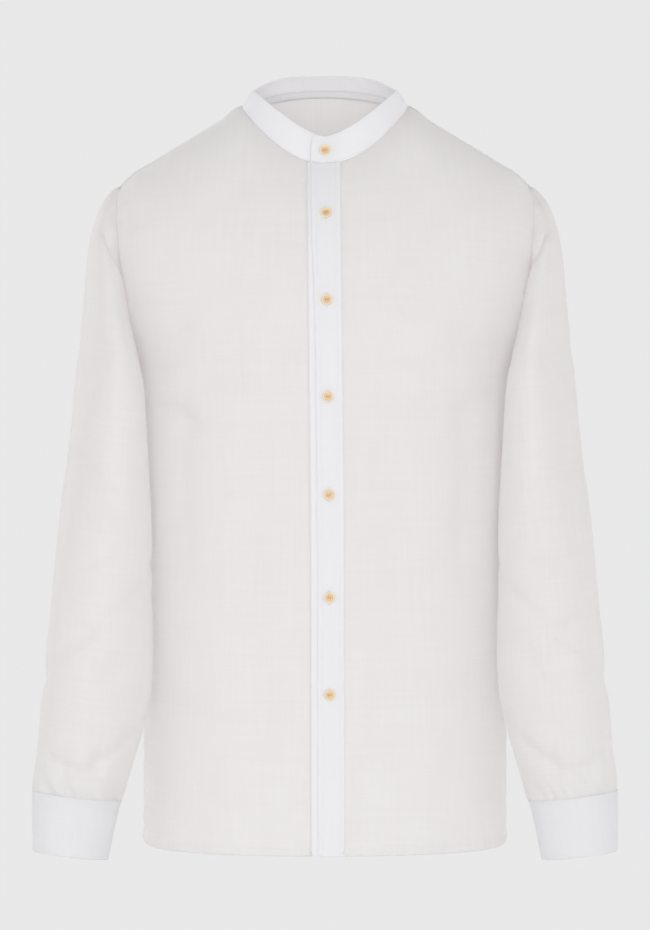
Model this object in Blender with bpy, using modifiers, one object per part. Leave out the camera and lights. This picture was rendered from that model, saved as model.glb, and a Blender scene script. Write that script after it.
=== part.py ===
"""A mandarin collar shirt, filled out as if worn, with nothing inside it.

Metres, +Z up. The origin is midway between the two points where the shoulder seams meet the neck.
+X is the wearer's left, -Y is the front and +Y the back. The cloth is rigid, and everything is one body.
"""

import math

import bpy
import numpy as np
from mathutils import Vector

# Cloth and seams.
CLOTH = 0.0012
DOUBLED_CLOTH = 0.0016
SEAM_GAP = 0.0003
LAYER_GAP = 0.0005
LAYER_STEP = DOUBLED_CLOTH + LAYER_GAP
EDGE_DRAW = 0.0005

# Body. The sections are rounder than a box and squarer than an ellipse.
SECTION_POWER = 2.25
ARMPIT_Z = -0.272
SHOULDER_TIP_X = 0.2095
SHOULDER_TIP_Z = -0.0805
HEM_FRONT_Z = -0.757
HEM_SIDE_RISE = 0.0055

# z, half width, depth in front, depth behind
BODY_SECTIONS = (
    (-0.770, 0.1860, 0.130, 0.128),
    (-0.600, 0.1860, 0.129, 0.125),
    (-0.520, 0.1862, 0.127, 0.122),
    (-0.430, 0.1866, 0.126, 0.121),
    (-0.340, 0.1882, 0.126, 0.126),
    (-0.300, 0.1890, 0.126, 0.130),
    (-0.272, 0.1892, 0.126, 0.132),
    (-0.250, 0.1945, 0.126, 0.134),
    (-0.225, 0.2050, 0.126, 0.135),
    (-0.200, 0.2126, 0.125, 0.136),
    (-0.150, 0.2260, 0.124, 0.136),
    (0.050, 0.2260, 0.120, 0.132),
)

# z, distance of the armhole from the centre plane
ARMHOLE = (
    (-0.272, 0.1892),
    (-0.250, 0.1915),
    (-0.225, 0.1970),
    (-0.200, 0.2015),
    (-0.177, 0.2055),
    (-0.150, SHOULDER_TIP_X),
    (0.050, SHOULDER_TIP_X),
)

# x, height of the shoulder seam
SHOULDER_LINE = (
    (0.0855, 0.0000),
    (0.0980, -0.0065),
    (0.1150, -0.0168),
    (0.1450, -0.0348),
    (0.1770, -0.0551),
    (0.1985, -0.0690),
    (SHOULDER_TIP_X, SHOULDER_TIP_Z),
)

# Neck seam and collar rim, as rings that lean in and forward.
NECK_HALF_WIDTH = 0.0855
RIM_HALF_WIDTH = 0.0745
RIM_SIDE_Z = 0.0190
BAND_BOW = 0.0012

# Each half of the body: its side of the centre plane, how the neck is cut into it, the collar's rim
# over it, and how far down it goes on rounding over below the neck and below the shoulder tip.
FRONT = {
    "side": -1,
    "depth_column": 1,
    "neck_depth": 0.070,
    "neck_rise": -0.0625,
    "neck_power": 1.9,
    "rim_depth": 0.066,
    "rim_rise": -0.0530,
    "rim_power": 1.45,
    "reach_at_neck": 0.22,
    "reach_at_tip": 0.13,
}
BACK = {
    "side": 1,
    "depth_column": 2,
    "neck_depth": 0.072,
    "neck_rise": 0.018,
    "neck_power": 2.0,
    "rim_depth": 0.054,
    "rim_rise": 0.0200,
    "rim_power": 3.4,
    "reach_at_neck": 0.24,
    "reach_at_tip": 0.14,
}

# How the sharp turn of the ridge at the neck point dies away below it.
RIDGE_SOFTNESS = 0.6
MOST_RIDGE_SPREAD = 0.050

# Soft vertical folds in the body. half, x, upper end, lower end, half width across, depth
BODY_FOLDS = (
    (FRONT, -0.070, -0.230, -0.790, 0.022, 0.0045),
    (FRONT, 0.068, -0.240, -0.790, 0.022, 0.0045),
    (FRONT, -0.128, -0.640, -0.800, 0.030, 0.0060),
    (FRONT, 0.122, -0.630, -0.800, 0.030, 0.0060),
    (BACK, -0.075, -0.220, -0.790, 0.028, 0.0055),
    (BACK, 0.082, -0.250, -0.790, 0.026, 0.0050),
    (BACK, 0.012, -0.380, -0.790, 0.024, 0.0035),
)

# Sleeve, from just below the armpit to the cuff.
# z, centre x, centre y, half width, half depth, turn of the section in degrees
SLEEVE_SECTIONS = (
    (-0.300, 0.2200, -0.050, 0.0338, 0.0720, 16),
    (-0.350, 0.2207, -0.056, 0.0385, 0.0690, 16),
    (-0.403, 0.2222, -0.063, 0.0443, 0.0650, 15),
    (-0.506, 0.2255, -0.078, 0.0510, 0.0570, 14),
    (-0.609, 0.2320, -0.088, 0.0541, 0.0500, 12),
    (-0.656, 0.2405, -0.091, 0.0492, 0.0440, 8),
    (-0.683, 0.2462, -0.092, 0.0466, 0.0390, 5),
    (-0.700, 0.2496, -0.092, 0.0440, 0.0355, 3),
    (-0.7585, 0.2560, -0.094, 0.0372, 0.0305, 3),
)
SLEEVE_GIRTH = 0.32
SLEEVE_START_Z = SLEEVE_SECTIONS[0][0]
SLEEVE_END_Z = SLEEVE_SECTIONS[-2][0]
CUFF_END_Z = SLEEVE_SECTIONS[-1][0]
CUFF_LEAN = math.radians(6.9)
LEAN_START_Z = -0.50

# How the sleeve leaves the armhole, round it from the armpit over the front, top and back.
# turn round the armhole, direction x, y, z
SLEEVE_LEAVES = (
    (0.00, 0.45, -0.10, -0.89),
    (0.12, 0.05, -0.85, -0.52),
    (0.25, 0.10, -0.90, -0.40),
    (0.38, 0.62, -0.60, -0.50),
    (0.50, 0.84, 0.00, -0.54),
    (0.62, 0.66, 0.45, -0.60),
    (0.75, 0.52, 0.50, -0.69),
    (0.88, 0.50, 0.25, -0.83),
    (1.00, 0.45, -0.10, -0.89),
)
LEAVING_REACH = 0.21
ARRIVING_REACH = 0.47

# Diagonal folds in each sleeve. turn round the sleeve, z, slope of turn with z, half length, half
# width across, depth
SLEEVE_FOLDS = (
    (0.20, -0.505, -1.30, 0.055, 0.014, 0.0035),
    (0.22, -0.665, -1.10, 0.040, 0.012, 0.0040),
    (0.62, -0.560, 1.20, 0.060, 0.016, 0.0035),
    (0.85, -0.440, -1.00, 0.060, 0.016, 0.0030),
)

# Centre front. z, x of the placket's middle
PLACKET_MIDDLE = (
    (-0.770, 0.0050),
    (-0.400, 0.0040),
    (-0.110, 0.0010),
    (0.000, 0.0005),
)
PLACKET_HALF_WIDTH = 0.015
PLACKET_TOP_Z = -0.060
STRIP_LINE = 0.005
STAND_LEFT = 0.0195
STAND_RIGHT = 0.011

# Collar ends: the wearer's left end lies over the right one.
BAND_OVER_END_X = -0.0145
BAND_UNDER_END_X = 0.014
BAND_RAMP = math.radians(75)

# Cuffs overlap behind.
CUFF_OVERLAP_STEPS = 2
CUFF_SEAM_TURN = 0.70
CUFF_RAMP = 0.25

# Slit plackets behind each sleeve.
SLIT_TURNS = (0.655, 0.725)
SLIT_TOP_Z = -0.582
SLIT_BOTTOM_Z = -0.692

# The neck tape, by its edges' places up the collar band.
TAPE_START = 0.06
TAPE_END = 0.38
TAPE_CLOTH = 0.0010
TAPE_ENDS = math.radians(72)

# Buttons.
BUTTON_RADIUS = 0.0057
BUTTON_THICKNESS = 0.0024
BUTTON_SIDES = 16
BUTTON_HEIGHTS = (-0.1145, -0.202, -0.2985, -0.3965, -0.4990, -0.5960)
CUFF_BUTTON_RADIUS = 0.0050

# How finely the faceted solids are cut.
ARMHOLE_ROWS = 10
LOWER_ROWS = 11
NECK_COLUMNS = 5
SHOULDER_COLUMNS = 7
SLEEVE_SIDES = 2 * ARMHOLE_ROWS
SLEEVE_CAP_ROWS = 6
SLEEVE_TUBE_ROWS = 9
BACK_NECK_COLUMNS = 6
STRIP_ROWS = 25
BAND_ROWS = 4
SMALL = 1e-5

LINEN = (0.84, 0.81, 0.80, 1)
LINEN_DOUBLED = (0.87, 0.86, 0.88, 1)
BUTTON_TAN = (0.70, 0.50, 0.31, 1)


def smooth(value):
    """0 below 0, 1 above 1, and an even ease between."""
    value = np.clip(value, 0, 1)
    return value * value * (3 - 2 * value)


def along(table, at):
    """The table's other columns at places in its first column, on one smooth curve."""
    rows = np.array(sorted(table), float)
    places, values = rows[:, 0], rows[:, 1:]
    at = np.clip(at, places[0], places[-1])
    index = np.clip(np.searchsorted(places, at, side="right") - 1, 0, len(places) - 2)
    slopes = np.gradient(values, places, axis=0)
    span = (places[index + 1] - places[index])[..., None]
    part = (at - places[index])[..., None] / span
    return (
        values[index] * (2 * part**3 - 3 * part**2 + 1)
        + slopes[index] * span * (part**3 - 2 * part**2 + part)
        + values[index + 1] * (3 * part**2 - 2 * part**3)
        + slopes[index + 1] * span * (part**3 - part**2)
    )


def unit(vectors):
    return vectors / np.linalg.norm(vectors, axis=-1, keepdims=True)


def to_points(x, y, z):
    return np.stack(np.broadcast_arrays(x, y, z), axis=-1)


# The body's form. Every function takes single values or whole arrays.


def widest_angle(z):
    """The section angle at the side seam, a quarter turn, or at the armhole, less than that."""
    share = along(ARMHOLE, z)[..., 0] / along(BODY_SECTIONS, z)[..., 0]
    share = np.where(np.asarray(z) <= ARMPIT_Z, 1.0, np.minimum(share, 1.0))
    return np.arcsin(share ** (SECTION_POWER / 2))


def x_of(across, z):
    """The distance from the centre plane, across from 0 at the centre to 1 at the side or armhole."""
    return along(BODY_SECTIONS, z)[..., 0] * np.sin(widest_angle(z) * across) ** (2 / SECTION_POWER)


def across_of(x, z):
    share = np.minimum(1.0, np.abs(x) / along(BODY_SECTIONS, z)[..., 0])
    return np.arcsin(share ** (SECTION_POWER / 2)) / widest_angle(z)


def section_depth(half, x, z):
    sizes = along(BODY_SECTIONS, z)
    share = np.minimum(1.0, np.abs(x) / sizes[..., 0])
    return sizes[..., half["depth_column"]] * (1 - share**SECTION_POWER) ** (1 / SECTION_POWER)


def neck_edge(half, x):
    """Depth and height of the neck seam at an x inside the neck point."""
    share = np.minimum(1.0, np.abs(x) / NECK_HALF_WIDTH)
    return half["neck_depth"] * np.sqrt(1 - share**2), half["neck_rise"] * (1 - share ** half["neck_power"])


def top_z(half, x):
    """Height of the neck seam, or past the neck point of the shoulder seam."""
    return np.where(
        np.abs(x) < NECK_HALF_WIDTH, neck_edge(half, x)[1], along(SHOULDER_LINE, np.abs(x))[..., 0]
    )


def rounding_reach(half, x):
    outward = (np.abs(x) - NECK_HALF_WIDTH) / (SHOULDER_TIP_X - NECK_HALF_WIDTH)
    return half["reach_at_neck"] + (half["reach_at_tip"] - half["reach_at_neck"]) * smooth(outward)


def ridge(half, x):
    """The height where the rounded shoulder would start: the shoulder seam, and a ridge over the neck."""
    depth, height = neck_edge(half, x)
    share = depth / section_depth(half, x, 0.0)
    rise = rounding_reach(half, x) * (1 - np.sqrt(1 - share**2))
    return np.where(np.abs(x) < NECK_HALF_WIDTH, height + rise, top_z(half, x))


def soft_ridge(half, x, z):
    """The ridge, softened more the further below it the cloth hangs."""
    spread = np.clip(RIDGE_SOFTNESS * (ridge(half, x) - z), 0, MOST_RIDGE_SPREAD)
    return sum(
        weight * ridge(half, np.minimum(np.abs(x) + step * spread, SHOULDER_TIP_X))
        for step, weight in ((-1, 0.14), (-0.5, 0.22), (0, 0.28), (0.5, 0.22), (1, 0.14))
    )


def body_fold(half, x, z):
    """How far the soft vertical folds sink the cloth here."""
    sunk = 0.0
    for fold_half, fold_x, upper, lower, half_width, depth in BODY_FOLDS:
        if fold_half is half:
            fade = smooth((upper - z) / (0.45 * (upper - lower)))
            sunk = sunk + depth * fade * np.exp(-(((x - fold_x) / half_width) ** 2))
    return sunk


def body_at(half, x, z):
    """The outside of the front or back at an x and a height."""
    drop = soft_ridge(half, x, z) - z
    left = 1 - np.clip(drop / rounding_reach(half, x), 0, 1)
    depth = section_depth(half, x, z) * np.sqrt(1 - left**2)
    squareness = np.clip(depth / BODY_SECTIONS[0][half["depth_column"]], 0, 1)
    depth = depth - body_fold(half, x, z) * squareness
    return to_points(x, half["side"] * depth, z)


def body_point(half, side, across, z):
    """The same, by the place across; side is 1 for the wearer's left and -1 for the right."""
    return body_at(half, side * x_of(across, z), z)


def hem_z(across):
    return HEM_FRONT_Z + HEM_SIDE_RISE * across**4


def armhole_point(turn):
    """Round the left armhole, from the armpit over the front, the shoulder tip and the back."""
    z = ARMPIT_Z + (SHOULDER_TIP_Z - ARMPIT_Z) * (1 - np.cos(2 * math.pi * turn)) / 2
    edge = x_of(1.0, z)
    front = np.asarray(turn)[..., None] <= 0.5
    return np.where(front, body_at(FRONT, edge, z), body_at(BACK, edge, z))


# The sleeve's form, on the wearer's left.


def sleeve_ring(z, turn):
    centre_x, centre_y, half_width, half_depth, twist = np.moveaxis(along(SLEEVE_SECTIONS, z), -1, 0)
    twist, angle = np.radians(twist), 2 * math.pi * turn
    inward, forward = half_width * np.cos(angle), half_depth * np.sin(angle)
    offset_x = -inward * np.cos(twist) - forward * np.sin(twist)
    offset_y = inward * np.sin(twist) - forward * np.cos(twist)
    lean = CUFF_LEAN * smooth((LEAN_START_Z - z) / (LEAN_START_Z - SLEEVE_END_Z))
    return to_points(centre_x + offset_x, centre_y + offset_y, z + np.tan(lean) * offset_x)


def sleeve_middle(z):
    return (sleeve_ring(z, 0) + sleeve_ring(z, 0.5)) / 2


def sleeve_cap(part, turn):
    """Between the armhole, at part 0, and the first full section of the sleeve, at part 1."""
    start, end = armhole_point(turn), sleeve_ring(SLEEVE_START_Z, turn)
    leaves = unit(along(SLEEVE_LEAVES, turn))
    arrives = unit(sleeve_ring(SLEEVE_START_Z - 0.01, turn) - end)
    length = np.linalg.norm(end - start, axis=-1, keepdims=True)
    first = start + leaves * length * LEAVING_REACH
    second = end - arrives * length * ARRIVING_REACH
    part = np.asarray(part)[..., None]
    rest = 1 - part
    return start * rest**3 + 3 * rest * part * (first * rest + second * part) + end * part**3


def sleeve_fold(z, turn):
    """How far the diagonal folds sink the cloth here."""
    sunk = 0.0
    for fold_turn, fold_z, slope, half_length, half_width, depth in SLEEVE_FOLDS:
        offset = turn - fold_turn - slope * (z - fold_z) / SLEEVE_GIRTH
        offset = ((offset + 0.5) % 1 - 0.5) * SLEEVE_GIRTH
        sunk = sunk + depth * np.exp(-((offset / half_width) ** 2) - ((z - fold_z) / half_length) ** 2)
    return sunk


def sleeve_point(z, turn):
    """The outside of the sleeve, below the armpit."""
    point = sleeve_ring(z, turn)
    return point - unit(point - sleeve_middle(z)) * np.asarray(sleeve_fold(z, turn))[..., None]


# The collar's form. The angle is 0 at the centre front and grows towards the wearer's right.


def neck_ring(angle, half_width, name, side_z):
    """The neck seam or the rim, whose sizes are each half's values of that name."""
    front = np.cos(angle) > 0
    depth, rise, power = (
        np.where(front, FRONT[f"{name}_{size}"], BACK[f"{name}_{size}"]) for size in ("depth", "rise", "power")
    )
    z = side_z + rise * (1 - np.abs(np.sin(angle)) ** power)
    return to_points(-half_width * np.sin(angle), -depth * np.cos(angle), z)


def band_point(angle, up):
    """The outside of the collar band, up from 0 at the neck seam to 1 at the rim."""
    seam = neck_ring(angle, NECK_HALF_WIDTH, "neck", 0)
    rim = neck_ring(angle, RIM_HALF_WIDTH, "rim", RIM_SIDE_Z)
    up = np.asarray(up)[..., None]
    return seam + (rim - seam) * up + unit(seam * (1, 1, 0)) * BAND_BOW * 4 * up * (1 - up)


# Making solids.


def material(name, colour, roughness):
    made = bpy.data.materials.new(name)
    made.use_nodes = True
    shader = made.node_tree.nodes["Principled BSDF"]
    shader.inputs["Base Color"].default_value = colour
    shader.inputs["Roughness"].default_value = roughness
    shader.inputs["Metallic"].default_value = 0
    return made


def grid_normals(grid, closed):
    """Unit normals of a grid of points, on the side where (column direction) x (row direction) points."""
    if closed:
        padded = np.concatenate([grid[:, -1:], grid, grid[:, :1]], axis=1)
        across = (padded[:, 2:] - padded[:, :-2]) / 2
    else:
        across = np.gradient(grid, axis=1)
    along_rows = np.gradient(grid, axis=0)
    normals = np.cross(across, along_rows)
    return normals / np.maximum(np.linalg.norm(normals, axis=2, keepdims=True), 1e-12)


def raised(grid, distance, closed=False):
    return grid + grid_normals(grid, closed) * distance


def pulled_back(grid, edges, distance=EDGE_DRAW):
    """The grid with its named edges drawn back from the seams: first, last row; left, right column."""
    grid = grid.copy()
    pairs = {
        "first": (np.s_[0, :], np.s_[1, :]),
        "last": (np.s_[-1, :], np.s_[-2, :]),
        "left": (np.s_[:, 0], np.s_[:, 1]),
        "right": (np.s_[:, -1], np.s_[:, -2]),
    }
    for edge in edges:
        edge_at, next_at = pairs[edge]
        step = grid[next_at] - grid[edge_at]
        grid[edge_at] += step / np.linalg.norm(step, axis=-1, keepdims=True) * distance
    return grid


def cloth(name, grid, thickness, cloth_material, closed=False):
    """A wall of cloth: a sheet through a grid of points on its outside, thickened inward."""
    rows, columns = grid.shape[:2]
    points = [tuple(point) for point in grid.reshape(-1, 3)]
    faces = []
    for row in range(rows - 1):
        for column in range(columns if closed else columns - 1):
            after = (column + 1) % columns
            faces.append(
                (
                    row * columns + column,
                    row * columns + after,
                    (row + 1) * columns + after,
                    (row + 1) * columns + column,
                )
            )
    mesh = bpy.data.meshes.new(name)
    mesh.from_pydata(points, [], faces)
    mesh.shade_smooth()
    made = bpy.data.objects.new(name, mesh)
    shirt.objects.link(made)
    mesh.materials.append(cloth_material)
    wall = made.modifiers.new("Wall", "SOLIDIFY")
    wall.thickness = thickness
    wall.offset = -1
    wall.use_even_offset = True
    wall.thickness_clamp = 0.4
    return made


def turned_round(grid):
    """The grid as its mirror image on the wearer's right, with its outside still outside."""
    mirrored = grid * (-1, 1, 1)
    return mirrored[:, ::-1]


# The pieces.


def row_shares():
    """Heights of the body's rows as shares of the side line, with a row at the armpit."""
    length = SHOULDER_TIP_Z - hem_z(1)
    lower = np.linspace(0, (ARMPIT_Z - hem_z(1)) / length, LOWER_ROWS, endpoint=False)
    turns = np.arange(ARMHOLE_ROWS + 1) / ARMHOLE_ROWS
    armhole = ARMPIT_Z + (SHOULDER_TIP_Z - ARMPIT_Z) * (1 - np.cos(math.pi * turns)) / 2
    return np.concatenate([lower, (armhole - hem_z(1)) / length])


def top_places(start_x, neck_columns):
    """Places across the top of a panel, from an x inside the neck point out to the shoulder tip."""
    angles = np.linspace(math.asin(start_x / NECK_HALF_WIDTH), math.pi / 2, neck_columns + 1)
    neck = across_of(NECK_HALF_WIDTH * np.sin(angles), 0.0)
    return np.concatenate([neck, np.linspace(neck[-1], 1, SHOULDER_COLUMNS + 1)[1:]])


def panel(half, side, start_offset, neck_columns):
    """Half of the front or back, out from a line beside the placket's middle, or from the centre."""
    shares = row_shares()[:, None]

    def start_at(z):
        if start_offset is None:
            return 0.0 * z
        return across_of(side * along(PLACKET_MIDDLE, z)[..., 0] + start_offset, z)

    start_top = float(start_at(np.array(PLACKET_TOP_Z)))
    tops = top_places(x_of(start_top, 0.0), neck_columns)
    low, high = hem_z(tops), top_z(half, x_of(tops, 0.0))
    heights = low + (high - low) * shares
    start = start_at(np.minimum(heights, PLACKET_TOP_Z))
    across = start + (1 - start) * (tops - start_top) / (1 - start_top)
    return body_point(half, side, across, heights)


def back_panel():
    """The whole back, from the wearer's left side seam across to the right one."""
    left, right = (panel(BACK, side, None, BACK_NECK_COLUMNS) for side in (1, -1))
    return np.concatenate([left[:, ::-1], right[:, 1:]], axis=1)


def front_strip(offsets):
    """A strip down the centre front, through lines at these distances from the placket's middle."""
    offsets = np.array(offsets)
    high = top_z(FRONT, along(PLACKET_MIDDLE, PLACKET_TOP_Z)[..., 0] + offsets)
    heights = HEM_FRONT_Z + (high - HEM_FRONT_Z) * np.linspace(0, 1, STRIP_ROWS)[:, None]
    return body_at(FRONT, along(PLACKET_MIDDLE, heights)[..., 0] + offsets, heights)


def sleeve():
    """The wearer's left sleeve, as rings from the cuff up to the armhole."""
    turns = np.arange(SLEEVE_SIDES) / SLEEVE_SIDES
    cap = sleeve_cap(np.linspace(0, 1, SLEEVE_CAP_ROWS, endpoint=False)[:, None], turns)
    tube = sleeve_point(np.linspace(SLEEVE_START_Z, SLEEVE_END_Z, SLEEVE_TUBE_ROWS)[:, None], turns)
    return np.concatenate([cap, tube])[::-1]


def cuff_point(z, along_cuff):
    """The outside of the cuff, from its under end at 0 past one turn to its over end."""
    point = sleeve_ring(z, CUFF_SEAM_TURN + along_cuff)
    lift = LAYER_STEP * smooth((along_cuff - 1 + CUFF_RAMP) / CUFF_RAMP)
    return point + unit(point - sleeve_middle(z)) * np.asarray(lift)[..., None]


def cuff():
    """The wearer's left cuff, one strip whose ends overlap behind."""
    places = np.arange(SLEEVE_SIDES + CUFF_OVERLAP_STEPS + 1) / SLEEVE_SIDES
    return cuff_point(np.array([[CUFF_END_Z], [SLEEVE_END_Z - SEAM_GAP]]), places)


def band_angles():
    """Angles round the collar, from the under end to the over end, meeting each panel's neck points."""
    middle = along(PLACKET_MIDDLE, PLACKET_TOP_Z)[0]
    under = -math.asin(BAND_UNDER_END_X / NECK_HALF_WIDTH)
    over = 2 * math.pi + math.asin(-BAND_OVER_END_X / NECK_HALF_WIDTH)
    left_edge = math.asin((PLACKET_HALF_WIDTH + middle) / NECK_HALF_WIDTH)
    right_edge = math.asin((STAND_LEFT - middle) / NECK_HALF_WIDTH)
    right = np.linspace(right_edge, math.pi / 2, NECK_COLUMNS + 1)
    behind = np.linspace(math.pi / 2, 1.5 * math.pi, 2 * BACK_NECK_COLUMNS + 1)[1:]
    left = np.linspace(1.5 * math.pi, 2 * math.pi - left_edge, NECK_COLUMNS + 1)[1:]
    return np.concatenate([(under, 0.0), right, behind, left, (2 * math.pi, over)])


def collar_band():
    angles = band_angles()
    grid = band_point(angles, np.linspace(0, 1, BAND_ROWS)[:, None])
    lift = LAYER_STEP * smooth((angles - 2 * math.pi + BAND_RAMP) / BAND_RAMP)
    grid = grid + unit(grid * (1, 1, 0)) * lift[:, None]
    grid[0, :, 2] += SEAM_GAP * (1 + 2 * smooth(-np.cos(angles)))
    return grid[:, ::-1]


def neck_tape():
    """The strip inside, over the back neck seam, a seam gap in from the collar band's inside."""
    angles = np.linspace(math.pi - TAPE_ENDS, math.pi + TAPE_ENDS, 2 * BACK_NECK_COLUMNS + 1)
    grid = band_point(angles, np.array([[TAPE_START], [TAPE_END]]))
    return raised(grid[:, ::-1], -(DOUBLED_CLOTH + 3 * SEAM_GAP))


def sleeve_placket():
    """The strip over the slit behind the wearer's left sleeve."""
    heights = np.linspace(SLIT_BOTTOM_Z, SLIT_TOP_Z, 7)[:, None]
    return raised(sleeve_point(heights, np.linspace(*SLIT_TURNS, 4)), CLOTH + 2.5 * SEAM_GAP)


def button(name, seat, outward, radius):
    """A turned button, dished inside its rim, standing on its seat along the outward direction."""
    thickness = BUTTON_THICKNESS
    profile = (
        (0.0, 0.62 * thickness),
        (0.55 * radius, 0.66 * thickness),
        (0.76 * radius, thickness),
        (0.94 * radius, 0.92 * thickness),
        (radius, 0.55 * thickness),
        (0.86 * radius, 0.0),
        (0.0, 0.0),
    )
    mesh = bpy.data.meshes.new(name)
    points = [(across, 0.0, up) for across, up in profile]
    mesh.from_pydata(points, [(i, i + 1) for i in range(len(points) - 1)], [])
    mesh.materials.append(button_material)
    made = bpy.data.objects.new(name, mesh)
    shirt.objects.link(made)
    turn = made.modifiers.new("Turn", "SCREW")
    turn.steps = turn.render_steps = BUTTON_SIDES
    turn.use_merge_vertices = True
    turn.merge_threshold = SMALL
    made.location = Vector(seat) + Vector(outward) * SEAM_GAP
    made.rotation_euler = Vector((0, 0, 1)).rotation_difference(Vector(outward)).to_euler()
    return made


def front_outward(x, z):
    """The way out of the centre front here."""
    step = 0.004
    return unit(np.cross((1, 0, 0), body_at(FRONT, x, z + step) - body_at(FRONT, x, z - step)))


def build():
    # Centre front.
    shared_lines = (-PLACKET_HALF_WIDTH, -STRIP_LINE, STRIP_LINE)
    placket = raised(front_strip((*shared_lines, PLACKET_HALF_WIDTH)), LAYER_STEP)
    placket = pulled_back(placket, ("last",), LAYER_STEP)
    cloth("placket", placket, DOUBLED_CLOTH, doubled_material)
    stand = front_strip((-STAND_LEFT, *shared_lines, STAND_RIGHT))
    cloth("button_stand", pulled_back(stand, ("left", "last")), DOUBLED_CLOTH, doubled_material)

    # Fronts and back.
    seams = ("left", "right", "last")
    left_front = panel(FRONT, 1, PLACKET_HALF_WIDTH, NECK_COLUMNS)
    right_front = panel(FRONT, -1, STAND_LEFT, NECK_COLUMNS)[:, ::-1]
    cloth("front_left", pulled_back(left_front, seams), CLOTH, linen_material)
    cloth("front_right", pulled_back(right_front, seams), CLOTH, linen_material)
    cloth("back", pulled_back(back_panel(), seams), CLOTH, linen_material)

    # Collar.
    cloth("collar_band", collar_band(), DOUBLED_CLOTH, doubled_material)
    cloth("neck_tape", neck_tape(), TAPE_CLOTH, doubled_material)

    # Sleeves, cuffs and their slit plackets.
    left_pieces = (
        ("sleeve", pulled_back(sleeve(), ("first", "last")), CLOTH, linen_material, True),
        ("sleeve_placket", sleeve_placket(), CLOTH, doubled_material, False),
        ("cuff", cuff(), DOUBLED_CLOTH, doubled_material, False),
    )
    for name, grid, thickness, cloth_material, closed in left_pieces:
        cloth(name + "_left", grid, thickness, cloth_material, closed)
        cloth(name + "_right", turned_round(grid), thickness, cloth_material, closed)

    # Buttons.
    collar_seat = band_point(0, 0.5) - np.array((0, LAYER_STEP, 0))
    collar_outward = unit(np.cross((1, 0, 0), band_point(0, 0.9) - band_point(0, 0.1)))
    button("button_1", collar_seat, collar_outward, BUTTON_RADIUS)
    for number, z in enumerate(BUTTON_HEIGHTS, 2):
        x = along(PLACKET_MIDDLE, z)[0]
        outward = front_outward(x, z)
        seat = body_at(FRONT, x, z) + outward * LAYER_STEP
        button(f"button_{number}", seat, outward, BUTTON_RADIUS)
    place = 1 + CUFF_OVERLAP_STEPS / SLEEVE_SIDES / 2
    low, high = cuff_point(CUFF_END_Z, place), cuff_point(SLEEVE_END_Z, place)
    before, after = cuff_point(CUFF_END_Z, place - 0.01), cuff_point(CUFF_END_Z, place + 0.01)
    outward = unit(np.cross(after - before, high - low))
    seat = (low + high) / 2
    for name, side in (("cuff_button_left", 1), ("cuff_button_right", -1)):
        mirror = np.array((side, 1, 1))
        button(name, seat * mirror, outward * mirror, CUFF_BUTTON_RADIUS)


for old in list(bpy.data.objects):
    bpy.data.objects.remove(old, do_unlink=True)
shirt = bpy.data.collections.new("mandarin_collar_shirt")
bpy.context.scene.collection.children.link(shirt)
linen_material = material("linen", LINEN, 0.85)
doubled_material = material("linen_doubled", LINEN_DOUBLED, 0.82)
button_material = material("button_tan", BUTTON_TAN, 0.45)
build()
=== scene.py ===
"""The looks of the mandarin collar shirt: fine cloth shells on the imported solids' form, stitching, buttons,
linen, light and camera.

Metres, +Z up. The origin is midway between the two points where the shoulder seams meet the neck.
+X is the wearer's left, -Y is the front and +Y the back.
"""

import math

import bmesh
import bpy
import numpy as np
from mathutils import Matrix, Vector


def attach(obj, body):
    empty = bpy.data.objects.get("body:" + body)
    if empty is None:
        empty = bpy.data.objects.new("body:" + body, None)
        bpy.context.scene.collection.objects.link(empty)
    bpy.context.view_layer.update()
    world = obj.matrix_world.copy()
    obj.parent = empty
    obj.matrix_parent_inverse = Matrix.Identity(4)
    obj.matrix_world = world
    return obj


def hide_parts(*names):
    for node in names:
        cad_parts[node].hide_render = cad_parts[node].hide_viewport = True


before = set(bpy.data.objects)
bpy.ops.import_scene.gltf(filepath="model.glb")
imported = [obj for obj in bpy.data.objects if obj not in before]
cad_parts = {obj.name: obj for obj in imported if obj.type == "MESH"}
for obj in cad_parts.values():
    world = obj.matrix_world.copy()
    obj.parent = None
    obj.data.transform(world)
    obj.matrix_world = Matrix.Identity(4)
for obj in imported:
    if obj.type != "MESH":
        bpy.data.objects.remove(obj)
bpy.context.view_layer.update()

# Cloth and seams.
DOUBLED_CLOTH = 0.0016
SEAM_GAP = 0.0003
LAYER_GAP = 0.0005
LAYER_STEP = DOUBLED_CLOTH + LAYER_GAP

# Body. The sections are rounder than a box and squarer than an ellipse.
SECTION_POWER = 2.25
ARMPIT_Z = -0.272
SHOULDER_TIP_X = 0.2095
SHOULDER_TIP_Z = -0.0805
HEM_FRONT_Z = -0.757
HEM_SIDE_RISE = 0.0055

# z, half width, depth in front, depth behind
BODY_SECTIONS = (
    (-0.770, 0.1860, 0.130, 0.128),
    (-0.600, 0.1860, 0.129, 0.125),
    (-0.520, 0.1862, 0.127, 0.122),
    (-0.430, 0.1866, 0.126, 0.121),
    (-0.340, 0.1882, 0.126, 0.126),
    (-0.300, 0.1890, 0.126, 0.130),
    (-0.272, 0.1892, 0.126, 0.132),
    (-0.250, 0.1945, 0.126, 0.134),
    (-0.225, 0.2050, 0.126, 0.135),
    (-0.200, 0.2126, 0.125, 0.136),
    (-0.150, 0.2260, 0.124, 0.136),
    (0.050, 0.2260, 0.120, 0.132),
)

# z, distance of the armhole from the centre plane
ARMHOLE = (
    (-0.272, 0.1892),
    (-0.250, 0.1915),
    (-0.225, 0.1970),
    (-0.200, 0.2015),
    (-0.177, 0.2055),
    (-0.150, SHOULDER_TIP_X),
    (0.050, SHOULDER_TIP_X),
)

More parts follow.
